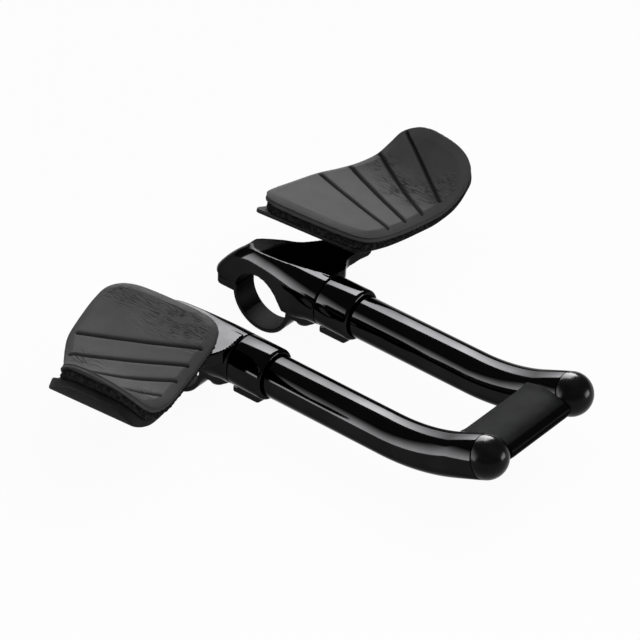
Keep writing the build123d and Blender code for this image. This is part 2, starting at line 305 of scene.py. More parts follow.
def prism(name: str, outline: np.ndarray, low: float, high: float) -> bpy.types.Object:
    """Closed solid on a flat outline, from one height to another.

    Args:
        name: name of the object.
        outline: outline in mm, one row of x and y each, counter-clockwise.
        low: bottom height in mm.
        high: top height in mm.

    Returns:
        The solid.
    """
    deselect()
    bpy.ops.mesh.primitive_circle_add(vertices=len(outline), radius=0.01, fill_type="NGON")
    obj = bpy.context.object
    obj.name = name
    set_coords(obj, np.column_stack([outline, np.full(len(outline), low)]))
    with editing(obj, Part.FACE):
        extrude((0, 0, (high - low) * MM))
    settle(obj)
    return obj


def side_prism(name: str, outline: np.ndarray, near: float, far: float) -> bpy.types.Object:
    """Closed solid on an upright outline, from one y to another.

    Args:
        name: name of the object.
        outline: outline in mm, one row of x and z each.
        near: smaller y in mm.
        far: larger y in mm.

    Returns:
        The solid.
    """
    flat = np.column_stack([outline[:, 0], -outline[:, 1]])
    obj = prism(name, flat, near, far)
    obj.data.transform(Matrix.Rotation(-math.pi / 2, 4, "X"))
    settle(obj)
    return obj


def stretch(obj: bpy.types.Object, middle: float, amount: float) -> bpy.types.Object:
    """Pull the two halves of a solid apart along X, to make a slot form.

    Args:
        obj: solid to change.
        middle: x between the halves in mm.
        amount: move of each half in mm.

    Returns:
        The same solid.
    """
    points = coords(obj)
    points[:, 0] += np.where(points[:, 0] > middle, amount, -amount)
    set_coords(obj, points)
    return obj


def lathe(name: str, profile: Sequence[Point2], steps: int) -> bpy.types.Object:
    """Turn a profile round the Z axis.

    Args:
        name: name of the object.
        profile: radius and height in mm, from end to end.
        steps: sides of the turned form.

    Returns:
        The turned form, closed where the profile starts and ends on the axis
        or returns to its start.
    """
    deselect()
    radius, height = profile[0]
    bpy.ops.mesh.primitive_plane_add(size=MM, location=(radius * MM, 0, height * MM))
    obj = bpy.context.object
    obj.name = name
    freeze(obj)
    with editing(obj):
        bpy.ops.mesh.merge(type="CENTER")
        for (r0, h0), (r1, h1) in zip(profile, profile[1:]):
            extrude(((r1 - r0) * MM, 0, (h1 - h0) * MM))
        bpy.ops.mesh.select_all(action="SELECT")
        bpy.ops.mesh.spin(steps=steps, angle=2 * math.pi, center=(0, 0, 0), axis=(0, 0, 1))
    settle(obj)
    return obj


def cylinder(radius: float, length: float, middle: Point3, axis: str, sides: int = 64) -> bpy.types.Object:
    """Plain cutting cylinder along one axis.

    Args:
        radius: radius in mm.
        length: length in mm.
        middle: place of its middle in mm.
        axis: X, Y or Z.
        sides: number of sides.

    Returns:
        The cylinder.
    """
    turns = {"X": (0, math.pi / 2, 0), "Y": (math.pi / 2, 0, 0), "Z": (0, 0, 0)}
    deselect()
    bpy.ops.mesh.primitive_cylinder_add(
        vertices=sides,
        radius=radius * MM,
        depth=length * MM,
        location=Vector(middle) * MM,
        rotation=turns[axis],
    )
    obj = bpy.context.object
    freeze(obj)
    return obj


def block(low: Point3, high: Point3) -> bpy.types.Object:
    """Plain cutting or starting block.

    Args:
        low: lowest corner in mm.
        high: highest corner in mm.

    Returns:
        The block.
    """
    deselect()
    bpy.ops.mesh.primitive_cube_add(size=1.0)
    obj = bpy.context.object
    corner, size = np.array(low), np.array(high) - np.array(low)
    set_coords(obj, corner + (coords(obj) * MM + 0.5) * size)
    return obj


# Shader tools


class Wire:
    """One output socket, with Python operators that add Math nodes."""

    def __init__(self, sheet: "Sheet", socket: bpy.types.NodeSocket) -> None:
        """Wrap a socket of a node sheet."""
        self.sheet = sheet
        self.socket = socket

    def _math(self, operation: str, first: Any, second: Any) -> "Wire":
        """Add one Math node on two values."""
        return self.sheet.node("ShaderNodeMath", {"operation": operation}, {0: first, 1: second})

    def __add__(self, other: Any) -> "Wire":
        """Sum."""
        return self._math("ADD", self, other)

    def __radd__(self, other: Any) -> "Wire":
        """Sum with the value on the left."""
        return self._math("ADD", other, self)

    def __sub__(self, other: Any) -> "Wire":
        """Difference."""
        return self._math("SUBTRACT", self, other)

    def __rsub__(self, other: Any) -> "Wire":
        """Difference with the value on the left."""
        return self._math("SUBTRACT", other, self)

    def __mul__(self, other: Any) -> "Wire":
        """Product."""
        return self._math("MULTIPLY", self, other)

    def __rmul__(self, other: Any) -> "Wire":
        """Product with the value on the left."""
        return self._math("MULTIPLY", other, self)

    def __abs__(self) -> "Wire":
        """Size without sign."""
        return self._math("ABSOLUTE", self, 0.0)


class Sheet:
    """Node sheet of one material."""

    def __init__(self, name: str) -> None:
        """Start a material with an empty sheet."""
        self.material = bpy.data.materials.new(name)
        self.material.use_nodes = True
        self.tree = self.material.node_tree
        self.tree.nodes.clear()

    def node(
        self,
        kind: str,
        settings: dict[str, Any] | None = None,
        sockets: dict[Any, Any] | None = None,
        output: Any = 0,
    ) -> Wire:
        """Add any node.

        Args:
            kind: node type.
            settings: attributes, set first.
            sockets: values or wires by socket name or number.
            output: output socket to hand back.

        Returns:
            The chosen output.
        """
        node = self.tree.nodes.new(kind)
        for key, value in (settings or {}).items():
            setattr(node, key, value)
        for key, value in (sockets or {}).items():
            if isinstance(value, Wire):
                self.tree.links.new(value.socket, node.inputs[key])
            else:
                node.inputs[key].default_value = value
        return Wire(self, node.outputs[output]) if node.outputs else None

    def place(self, scale: Point3 = (1, 1, 1)) -> Wire:
        """Object coordinates, stretched."""
        where = self.node("ShaderNodeTexCoord", output="Object")
        return self.node("ShaderNodeMapping", {}, {"Vector": where, "Scale": scale})

    def axes(self) -> tuple[Wire, Wire, Wire]:
        """Split the object coordinates.

        Returns:
            One wire for each axis.
        """
        where = self.node("ShaderNodeTexCoord", output="Object")
        split = self.node("ShaderNodeSeparateXYZ", {}, {"Vector": where}).socket.node
        x, y, z = (Wire(self, socket) for socket in split.outputs)
        return x, y, z

    def noise(self, where: Wire, scale: float, detail: float = 2.0, rough: float = 0.5) -> Wire:
        """Noise value on a place."""
        return self.node(
            "ShaderNodeTexNoise",
            {},
            {"Vector": where, "Scale": scale, "Detail": detail, "Roughness": rough},
        )

    def band(self, value: Wire, low: float, high: float) -> Wire:
        """Smooth step of a value between two levels."""
        return self.node(
            "ShaderNodeMapRange",
            {"interpolation_type": "SMOOTHSTEP"},
            {"Value": value, "From Min": low, "From Max": high},
        )

    def mix(self, share: Wire, first: Wire | Point3, second: Wire | Point3) -> Wire:
        """Mix two colours, each a wire or three levels, by a share."""
        low, high = (c if isinstance(c, Wire) else (*c, 1.0) for c in (first, second))
        return self.node("ShaderNodeMix", {"data_type": "RGBA"}, {0: share, 6: low, 7: high}, output=2)

    def bump(self, height: Wire, strength: float, depth: float, below: Wire | None = None) -> Wire:
        """Bump from a height.

        Args:
            height: height from 0 to 1.
            strength: share of the bump that shows.
            depth: depth in mm.
            below: coarser bump that this one lies on.

        Returns:
            The bumped normal.
        """
        links: dict[Any, Any] = {"Height": height, "Strength": strength, "Distance": depth * MM}
        if below is not None:
            links["Normal"] = below
        return self.node("ShaderNodeBump", {}, links)

    def surface(self, **sockets: Any) -> bpy.types.Material:
        """Close the sheet with one Principled shader.

        Args:
            **sockets: inputs by name with underscores for spaces.

        Returns:
            The finished material.
        """
        named = {key.replace("_", " "): value for key, value in sockets.items()}
        shader = self.node("ShaderNodeBsdfPrincipled", {}, named)
        self.node("ShaderNodeOutputMaterial", {}, {"Surface": shader})
        return self.material


# Finishes


@dataclass(frozen=True)
class GlossMetal:
    """Polished black finish of the tubes, brackets and caps."""

    name: str = "gloss_black_metal"
    dark: Point3 = (0.0098, 0.0098, 0.0101)
    light: Point3 = (0.0127, 0.0127, 0.0131)
    # matt: bore colour, darkened as painted shade in the hollow; the bore's higher roughness is its real matt
    # finish.
    matt: Point3 = (0.0024, 0.0024, 0.0025)
    rim: Point3 = (0.5, 0.5, 0.5)
    roughness: float = 0.075
    spread: float = 0.035
    grain: float = 700.0
    bore: Point2 = (16.15, 16.4)
    bore_roughness: float = 0.45

    def build(self) -> bpy.types.Material:
        """Make the material with faint haze, polish marks and a matt bore, whose darker colour is painted
        shade.

        Returns:
            The material.
        """
        sheet = Sheet(self.name)
        where = sheet.place()
        haze = sheet.noise(where, 55.0, 3.0)
        fine = sheet.noise(where, self.grain, 4.0, 0.6)
        polish = sheet.noise(sheet.place((1.0, 9.0, 9.0)), 260.0, 3.0)
        x, _, z = sheet.axes()
        inner, outer = ((radius * MM) ** 2 for radius in self.bore)
        bore = 1 - sheet.band(x * x + z * z, inner, outer)
        rough = self.roughness + self.spread * (haze * 0.6 + fine * 0.6) - 0.6 * self.spread
        rough = rough + self.bore_roughness * bore
        polished = sheet.mix(sheet.band(haze, 0.35, 0.7), self.dark, self.light)
        # The bore's darker colour is painted shade in the hollow.
        colour = sheet.mix(bore, polished, self.matt)
        normal = sheet.bump(polish * 0.4 + fine * 0.6, 0.05, 0.012)
        return sheet.surface(
            Base_Color=colour, Roughness=rough, Metallic=1.0, Specular_Tint=(*self.rim, 1.0), Normal=normal
        )


@dataclass(frozen=True)
class CastMatt:
    """Fine-blasted charcoal top and smoother dark front of the bridge."""

    name: str = "charcoal_bridge"
    top: Point3 = (0.0125, 0.0128, 0.0135)
    speck: Point3 = (0.0075, 0.0078, 0.0082)
    front: Point3 = (0.003, 0.003, 0.0033)
    edge_x: Point2 = (178.4, 179.8)
    roughness: float = 0.42
    gloss: float = 0.0024

    def build(self) -> bpy.types.Material:
        """Make the material, split between top and front by height and length.

        Returns:
            The material.
        """
        sheet = Sheet(self.name)
        where = sheet.place()
        along, _, height = sheet.axes()
        front = sheet.band(along - height * 0.35, *(x * MM for x in self.edge_x))
        grain = sheet.noise(where, 2600.0, 4.0, 0.65)
        patch = sheet.noise(where, 90.0, 2.0)
        matt = sheet.mix(sheet.band(grain * 0.6 + patch * 0.4, 0.38, 0.62), self.speck, self.top)
        colour = sheet.mix(front, matt, self.front)
        rough = self.roughness + 0.1 * (grain - 0.5) - 0.28 * front
        normal = sheet.bump(grain * (1 - 0.8 * front), 0.35, 0.05)
        return sheet.surface(Base_Color=colour, Roughness=rough, Normal=normal, Specular_IOR_Level=self.gloss)


@dataclass(frozen=True)
class OxideSteel:
    """Black-oxide finish of the screws."""

    name: str = "black_oxide_steel"
    dark: Point3 = (0.030, 0.030, 0.032)
    worn: Point3 = (0.16, 0.155, 0.15)
    roughness: float = 0.34

    def build(self) -> bpy.types.Material:
        """Make the material with turning marks and slight wear.

        Returns:
            The material.
        """
        sheet = Sheet(self.name)
        where = sheet.place()
        turning = sheet.noise(sheet.place((1, 1, 14)), 400.0, 3.0)
        wear = sheet.band(sheet.noise(where, 420.0, 5.0, 0.7), 0.58, 0.78)
        colour = sheet.mix(wear, self.dark, self.worn)
        rough = self.roughness + 0.16 * turning - 0.08 * wear
        return sheet.surface(
            Base_Color=colour, Roughness=rough, Metallic=1.0, Normal=sheet.bump(turning, 0.15, 0.03)
        )


@dataclass(frozen=True)
class PlugGloss:
    """Semi-gloss moulded plastic of the end plugs."""

    name: str = "moulded_plug"
    dark: Point3 = (0.003, 0.003, 0.0033)
    light: Point3 = (0.006, 0.006, 0.0064)
    roughness: float = 0.2
    gloss: float = 0.064

    def build(self) -> bpy.types.Material:
        """Make the material with a faint moulding texture.

        Returns:
            The material.
        """
        sheet = Sheet(self.name)
        where = sheet.place()
        cloud = sheet.noise(where, 120.0, 3.0)
        grain = sheet.noise(where, 2200.0, 3.0)
        colour = sheet.mix(sheet.band(cloud, 0.3, 0.7), self.dark, self.light)
        rough = self.roughness + 0.08 * (cloud - 0.5) + 0.04 * (grain - 0.5)
        normal = sheet.bump(grain, 0.12, 0.02)
        return sheet.surface(Base_Color=colour, Roughness=rough, Normal=normal, Specular_IOR_Level=self.gloss)


@dataclass(frozen=True)
class PlatePlastic:
    """Grained black plastic of the armrest plates."""

    name: str = "grained_plate"
    dark: Point3 = (0.010, 0.010, 0.0104)
    light: Point3 = (0.016, 0.016, 0.0166)
    roughness: float = 0.46
    gloss: float = 0.02

    def build(self) -> bpy.types.Material:
        """Make the material with a leather-like moulded grain.

        Returns:
            The material.
        """
        sheet = Sheet(self.name)
        where = sheet.place()
        cells = sheet.node("ShaderNodeTexVoronoi", {"feature": "F1"}, {"Vector": where, "Scale": 1500.0})
        cloud = sheet.noise(where, 70.0, 3.0)
        colour = sheet.mix(sheet.band(cloud, 0.3, 0.7), self.dark, self.light)
        rough = self.roughness + 0.12 * (cloud - 0.5) + 0.1 * cells
        normal = sheet.bump(cells, 0.25, 0.06)
        return sheet.surface(Base_Color=colour, Roughness=rough, Normal=normal, Specular_IOR_Level=self.gloss)


@dataclass(frozen=True)
class HookFibre:
    """Brushed hook-and-loop fibre between plate and pad."""

    name: str = "hook_fibre"
    # deep: painted shade of the low points between the tufts; tip: colour of the fibre tips.
    deep: Point3 = (0.009, 0.009, 0.0095)
    tip: Point3 = (0.050, 0.050, 0.052)
    roughness: float = 0.95
    gloss: float = 0.01

    def build(self) -> bpy.types.Material:
        """Make the material from stretched fibre noise and tufts, with painted shade in the low points
        between them.

        Returns:
            The material.
        """
        sheet = Sheet(self.name)
        where = sheet.place()
        tufts = sheet.noise(where, 520.0, 4.0, 0.7)
        fibre = sheet.noise(sheet.place((1, 1, 0.25)), 2400.0, 3.0, 0.7)
        height = tufts * 0.6 + fibre * 0.4
        # Colour follows the fibre height: the low points get painted shade.
        colour = sheet.mix(sheet.band(height, 0.42, 0.7), self.deep, self.tip)
        normal = sheet.bump(height, 0.8, 0.5)
        return sheet.surface(
            Base_Color=colour, Roughness=self.roughness, Normal=normal, Specular_IOR_Level=self.gloss
        )


@dataclass(frozen=True)
class PadFoam:
    """Dark grey skinned foam with a fine grain and creases."""

    name: str = "skinned_foam"
    dark: Point3 = (0.050, 0.050, 0.051)
    light: Point3 = (0.066, 0.066, 0.067)
    # Colour of the painted shade in the grooves and along the wrinkle creases.
    groove_shade: Point3 = (0.010, 0.010, 0.0105)
    folds: float = 560.0
    roughness: float = 0.58
    gloss: float = 0.0112

    def build(self) -> bpy.types.Material:
        """Make the material; the mesh carries masks of its grooves and wrinkles, which get painted shade.

        Returns:
            The material.
        """
        sheet = Sheet(self.name)
        where = sheet.place()
        cloud = sheet.noise(where, 38.0, 3.0)
        grain = sheet.noise(where, 2300.0, 3.0, 0.6)
        mask = sheet.node("ShaderNodeAttribute", {"attribute_name": "groove_shade"}, output="Fac")
        worn = sheet.node("ShaderNodeAttribute", {"attribute_name": "wrinkle"}, output="Fac")
        fold = sheet.noise(sheet.place((0.2, 1.0, 1.0)), self.folds, 2.5, 0.55)
        line = worn * (1 - sheet.band(abs(fold - 0.5), 0.01, 0.085))
        skin = sheet.mix(sheet.band(cloud * 0.7 + grain * 0.3, 0.36, 0.64), self.dark, self.light)
        # Grooves, and most of each wrinkle line, take painted shade.
        colour = sheet.mix(mask + 0.8 * line * (1 - mask), skin, self.groove_shade)
        rough = self.roughness + 0.14 * (cloud - 0.5) + 0.1 * (grain - 0.5) + 0.2 * mask
        creased = sheet.bump(1 - line, 1.0, 0.6)
        normal = sheet.bump(grain, 0.3, 0.05, creased)
        return sheet.surface(Base_Color=colour, Roughness=rough, Normal=normal, Specular_IOR_Level=self.gloss)


class Wardrobe:
    """All finishes, built once each."""

    def __init__(self) -> None:
        """Build every material."""
        finishes = {
            Slot.METAL: GlossMetal(),
            Slot.BRIDGE: CastMatt(),
            Slot.STEEL: OxideSteel(),
            Slot.PLUG: PlugGloss(),
            Slot.PLATE: PlatePlastic(),
            Slot.HOOK: HookFibre(),
            Slot.FOAM: PadFoam(),
        }
        self.materials = {slot: finish.build() for slot, finish in finishes.items()}

    def of(self, slot: Slot) -> bpy.types.Material:
        """Material of a slot."""
        return self.materials[slot]

    def dress(self, piece: bpy.types.Object, slot: Slot, nodes: Sequence[str]) -> None:
        """Give a piece its finish, its body and the nodes it stands for.

        Args:
            piece: finished piece.
            slot: material slot of the record.
            nodes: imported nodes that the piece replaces.
        """
        piece.data.materials.clear()
        piece.data.materials.append(self.of(slot))
        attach(piece, ROOT)
        if nodes:
            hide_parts(*nodes)
        LOG.info("%s: %d faces", piece.name, len(piece.data.polygons))


# Sub-assemblies

MIRROR = Matrix.Scale(-1, 4, (0, 1, 0))


@dataclass
class Extension:
    """One bent tube with its end plug."""

    radius: float = 11.1
    wall: float = 1.7
    y: float = 33.5
    z: float = 15.0
    start_x: float = 30.0
    bend_x: float = 129.9
    bend_radius: float = 104.8
    bend_angle: float = 23.2
    tip_length: float = 16.4
    sides: int = 128
    band: float = 0.6

    @property
    def tip(self) -> Matrix:
        """Work out the place of the tube's open end.

        Returns:
            The place in metres, with Z along the tip.
        """
        angle = math.radians(self.bend_angle)
        along = Vector((math.cos(angle), 0, math.sin(angle)))
        end = Vector(
            (
                self.bend_x + self.bend_radius * math.sin(angle),
                self.y,
                self.z + self.bend_radius * (1 - math.cos(angle)),
            )
        ) + along * self.tip_length
        across = Vector((0, 1, 0))
        turn = Matrix((across, along.cross(across), along)).transposed().to_4x4()
        return Matrix.Translation(end * MM) @ turn

    def tube(self) -> bpy.types.Object:
        """Model the tube: a ring run straight, spun round the bend, run to the tip.

        Returns:
            The tube with its wall.
        """
        deselect()
        bpy.ops.mesh.primitive_circle_add(
            vertices=self.sides,
            radius=self.radius * MM,
            location=Vector((self.start_x, self.y, self.z)) * MM,
            rotation=(0, math.pi / 2, 0),
        )
        tube = bpy.context.object
        tube.name = "left_tube"
        freeze(tube)
        angle = math.radians(self.bend_angle)
        with editing(tube, Part.EDGE):
            extrude(((self.bend_x - self.start_x) * MM, 0, 0))
            bpy.ops.mesh.spin(
                steps=40,
                angle=angle,
                center=Vector((self.bend_x, self.y, self.z + self.bend_radius)) * MM,
                axis=(0, 1, 0),
            )
            extrude(
                Vector((math.cos(angle), 0, math.sin(angle))) * (self.tip_length - 0.25) * MM
            )
        settle(tube)
        apply_modifier(tube, "SOLIDIFY", thickness=self.wall * MM, offset=-1.0)
        soften(tube, 0.25, 2, 50)
        smooth(tube, 30)
        return tube

    def plug(self) -> bpy.types.Object:
        """Model the plug: a spigot in the tube, a seam and a dome.

        Returns:
            The plug at the tip.
        """
        dome = [
            (self.radius * math.cos(a), self.band + self.radius * math.sin(a))
            for a in np.linspace(0, math.pi / 2, 33)
        ]
        dome[-1] = (0.0, self.band + self.radius)
        spigot = self.radius - self.wall - 0.05
        profile = [
            (0.0, -8.0),
            (spigot - 0.6, -8.0),
            (spigot, -7.4),
            (spigot, 0.05),
            (self.radius - 0.45, 0.05),
            (self.radius - 0.12, 0.2),
            (self.radius, 0.42),
            *dome,
        ]
        plug = lathe("left_dome_plug", profile, 96)
        plug.data.transform(self.tip)
        smooth(plug, 40)
        return plug

    def build(self, wardrobe: Wardrobe) -> None:
        """Model both sides and dress them.

        Args:
            wardrobe: finishes.
        """
        for left, slot, node in (
            (self.tube(), Slot.METAL, "extension"),
            (self.plug(), Slot.PLUG, "end_plug"),
        ):
            right = copied(left, left.name.replace("left", "right"), MIRROR)
            wardrobe.dress(left, slot, [f"left_{node}"])
            wardrobe.dress(right, slot, [f"right_{node}"])


@dataclass
class Station:
    """One cross-section of the bracket body, about the tube's line.

    It has its place along the tube, its half widths on both sides, its top, the
    power of its rounded form and its bottom.
    """

    x: float
    inner: float
    outer: float
    top: float
    power: float
    low: float


@dataclass
class Bracket:
    """Forged bracket: body, arm, collar and lug, with the bar's upper half bore."""

    y: float = 33.5
    tube_z: float = 15.0
    tube_radius: float = 11.15
    bar_radius: float = 15.9
    split_z: float = 3.0
    seam_x: float = 38.4
    seam: float = 0.7
    collar_radius: float = 13.5
    collar_front: float = 58.8
    lip: float = 1.9
    socket_x: float = 30.0
    arm_low: float = 16.0
    arm_top: float = 40.0
    arm_rear: Sequence[Point2] = (
        (-18.0, 0.0), (-15.5, 8.5), (-10.8, 13.6), (-5.8, 17.6), (1.0, 22.0), (5.0, 29.0),
    )
    arm_front: Sequence[Point2] = (
        (28.6, 35.2), (29.3, 27.0), (31.2, 22.0), (34.8, 17.2), (37.2, 12.6), (37.4, 0.0),
    )
    arm_floor: Sequence[Point2] = ((0.0, 18.0), (14.0, 18.8), (20.0, 18.6), (31.5, 16.0))
    nose_ramp: tuple[Point2, Point2] = ((-40.0, 2.9), (-5.0, 32.7))
    reach: Point2 = (-10.0, 110.0)
    crest: Point3 = (7.7, 31.2, 27.3)
    crest_fall: float = 12.0
    crest_turn: float = 22.0
    seat_high: float = 22.0
    seat_radius: float = 8.4
    pivot: Point2 = (20.0, 75.0)
    arm_end: float = 9.6
    bolts_x: Point2 = (23.0, -24.0)
    bolt_radius: float = 2.5
    bolt_depth: float = 15.0
    set_screws_x: Point2 = (43.0, 49.6)
    neck: Point2 = (3.0, 1.0)
    lug_half: float = 5.6
    lug_low: float = -2.6
    lug_rear: float = 36.4
    lug_front: float = 52.0
    grain: float = 0.36
    polish: int = 14
    stations: Sequence[Station] = field(
        default_factory=lambda: (
            Station(-32.3, 3.4, 3.4, 6.0, 2.4, -1.0),
            Station(-29.3, 6.3, 6.1, 10.0, 2.4, -6.0),
            Station(-24.5, 7.6, 6.9, 15.6, 2.4, -7.0),
            Station(-17.0, 8.5, 7.1, 22.4, 2.4, -7.0),
            Station(-8.0, 9.4, 7.7, 27.2, 2.4, -7.0),
            Station(6.0, 10.8, 8.8, 28.5, 2.4, -6.0),
            Station(20.0, 12.4, 10.6, 28.5, 2.3, -3.0),
            Station(31.0, 13.3, 12.8, 28.5, 2.1, 0.6),
            Station(38.4, 13.5, 13.5, 28.5, 2.0, 1.5),
        )
    )

    def body(self) -> bpy.types.Object:
        """Loft the body: one ring extruded from station to station.

        Returns:
            The body as a closed solid.
        """
        sides = 72
        knots = [(s.x, s.inner, s.outer, s.top, s.power, s.low) for s in self.stations]
        rows = spline(knots, 5, closed=False)
        turn = np.linspace(0, 2 * math.pi, sides, endpoint=False)
        deselect()
        bpy.ops.mesh.primitive_circle_add(vertices=sides, radius=0.01, fill_type="NGON")
        body = bpy.context.object
        body.name = "left_forging"
        with editing(body, Part.FACE):
            bm = bmesh.from_edit_mesh(body.data)
            number = bm.verts.layers.int.new("number")
            bm.verts.ensure_lookup_table()
            for i, vert in enumerate(bm.verts):
                vert[number] = i
            for k, (x, inner, outer, top, power, low) in enumerate(rows):
                if k:
                    extrude((MM, 0, 0))
                    bm = bmesh.from_edit_mesh(body.data)
                    number = bm.verts.layers.int["number"]
                cosine, sine = np.cos(turn), np.sin(turn)
                wide = np.sign(cosine) * np.abs(cosine) ** (2 / power)
                tall = np.sign(sine) * np.abs(sine) ** (2 / power)
                half = np.where(cosine > 0, outer, inner)
                for vert in (v for v in bm.verts if v.select):
                    i = vert[number]
                    vert.co = (
                        Vector(
                            (x, self.y + half[i] * wide[i], (top + low) / 2 + (top - low) / 2 * tall[i])
                        )
                        * MM
                    )
                bmesh.update_edit_mesh(body.data)
        settle(body)
        return body

    def arm(self) -> bpy.types.Object:
        """Model the arm that sweeps outwards under the armrest.

        Returns:
            The arm as a closed solid.
        """
        px, py = self.pivot
        rear, front = ([(x, self.y + away) for x, away in edge] for edge in (self.arm_rear, self.arm_front))
        rear = spline([*rear, (px - self.arm_end, py)], 8, False)
        front = spline([(px + self.arm_end, py), *front], 8, False)
        turn = np.linspace(math.pi, 0, 21)[1:-1]
        cap = np.column_stack([px + self.arm_end * np.cos(turn), py + self.arm_end * np.sin(turn)])
        outline = np.vstack([front, rear, cap])[::-1]
        arm = prism("arm", outline, self.arm_low, self.arm_top)
        with editing(arm, Part.FACE):
            for y in np.arange(self.y + 1.0, py + 12.0, 2.0):
                bpy.ops.mesh.select_all(action="SELECT")
                bpy.ops.mesh.bisect(plane_co=(0, y * MM, 0), plane_no=(0, 1, 0))
        points = coords(arm)
        bottom = np.interp(points[:, 1] - self.y, *zip(*self.arm_floor))
        points[:, 2] = np.where(points[:, 2] > (self.arm_low + self.arm_top) / 2, points[:, 2], bottom)
        set_coords(arm, points)
        settle(arm)
        low, high = self.nose_ramp
        sky = self.arm_top + 20.0
        ramp = np.array([low, high, (high[0], sky), (low[0], sky)])
        combine(arm, side_prism("ramp", ramp, *self.reach), "DIFFERENCE")
        return arm

    def over_crest(self) -> bpy.types.Object:
        """Make the solid above the falling flat, which trims body and arm.

        Returns:
            The cutting solid.
        """
        turn, fall = math.radians(self.crest_turn), math.radians(self.crest_fall)
        along = Vector((math.cos(turn), math.sin(turn), 0))
        down = Vector((-math.sin(turn), math.cos(turn), 0))
        normal = down * math.sin(fall) + Vector((0, 0, math.cos(fall)))
        plane = Matrix((along, normal.cross(along), normal)).transposed().to_4x4()
        tool = block((-150, -150, 0), (150, 150, 60))
        tool.data.transform(Matrix.Translation(Vector(self.crest) * MM) @ plane)
        return tool

    def forging(self) -> bpy.types.Object:
        """Join body and arm, cut bore, split and socket, and round the whole.

        Returns:
            The forging.
        """
        forging = self.body()
        combine(forging, self.arm(), "UNION")
        combine(forging, self.over_crest(), "DIFFERENCE")
        px, py = self.pivot
        middle = (px, py, (self.seat_high + self.arm_low) / 2)
        seat = cylinder(self.seat_radius, self.seat_high - self.arm_low, middle, "Z")
        combine(forging, stretch(seat, px, 1.1), "UNION")
        room = cylinder(self.arm_end, 20, (px, py, self.seat_high + 10), "Z")
        combine(forging, stretch(room, px, 4.1), "DIFFERENCE")
        combine(forging, cylinder(self.bar_radius, 120, (0, self.y, 0), "Y", 160), "DIFFERENCE")
        combine(forging, block((-60, -20, -40), (80, 120, self.split_z)), "DIFFERENCE")
        combine(
            forging,
            cylinder(self.tube_radius, 40, (self.socket_x + 20, self.y, self.tube_z), "X", 96),
            "DIFFERENCE",
        )
        apply_modifier(forging, "REMESH", mode="VOXEL", voxel_size=self.grain * MM)
        apply_modifier(forging, "SMOOTH", factor=0.5, iterations=self.polish)
        for x in self.bolts_x:
            hole = cylinder(self.bolt_radius, self.bolt_depth, (x, self.y, self.split_z), "Z", 32)
            combine(forging, hole, "DIFFERENCE")
        smooth(forging, 60)
        return forging

    def collar(self) -> bpy.types.Object:
        """Model the collar with its rounded lip, neck and lug.

        Returns:
            The collar.
        """
        start = self.seam_x + self.seam
        behind, below = start - self.neck[0], self.collar_radius - self.neck[1]
        lip = [
            (
                self.collar_radius - self.lip * (1 - math.cos(a)),
                self.collar_front - self.lip * (1 - math.sin(a)),
            )
            for a in np.linspace(0, math.pi / 2, 9)
        ]
        profile = [
            (self.tube_radius, behind),
            (below, behind),
            (below, start),
            (self.collar_radius - 0.3, start),
            (self.collar_radius - 0.08, start + 0.1),
            (self.collar_radius, start + 0.35),
            *lip,
            (self.tube_radius + 0.25, self.collar_front),
            (self.tube_radius, self.collar_front - 0.3),
            (self.tube_radius, behind),
        ]
        collar = lathe("left_collar", profile, 128)
        collar.data.transform(
            Matrix.Translation(Vector((0, self.y, self.tube_z)) * MM) @ Matrix.Rotation(math.pi / 2, 4, "Y")
        )
        lug = self.lug()
        combine(lug, cylinder(self.tube_radius, 60, (45, self.y, self.tube_z), "X", 96), "DIFFERENCE")
        combine(collar, lug, "UNION")
        for x in self.set_screws_x:
            hole = cylinder(self.bolt_radius, 9, (x, self.y, self.lug_low + 3.5), "Z", 32)
            combine(collar, hole, "DIFFERENCE")
        smooth(collar, 35)
        return collar

    def lug(self) -> bpy.types.Object:
        """Model the lug: a block with a sloped front and rounded edges.

        Returns:
            The lug before it joins the collar.
        """
        start = self.seam_x + self.seam
        front = self.collar_front - self.lip
        high, floor = self.tube_z - self.tube_radius + 3.0, self.tube_z - self.collar_radius
        outline = np.array(
            [
                (self.lug_rear, self.lug_low),
                (self.lug_front, self.lug_low),
                (front, floor + 1.0),
                (front, high),
                (start, high),
                (start, floor),
                (self.lug_rear, floor),
            ]
        )
        lug = side_prism("lug", outline, self.y - self.lug_half, self.y + self.lug_half)
        soften(lug, 1.2, 4, 30)
        return lug

    def build(self, wardrobe: Wardrobe) -> None:
        """Model both sides and dress them.

        Args:
            wardrobe: finishes.
        """
        for left in (self.forging(), self.collar()):
            right = copied(left, left.name.replace("left", "right"), MIRROR)
            wardrobe.dress(left, Slot.METAL, ["left_bracket"])
            wardrobe.dress(right, Slot.METAL, ["right_bracket"])


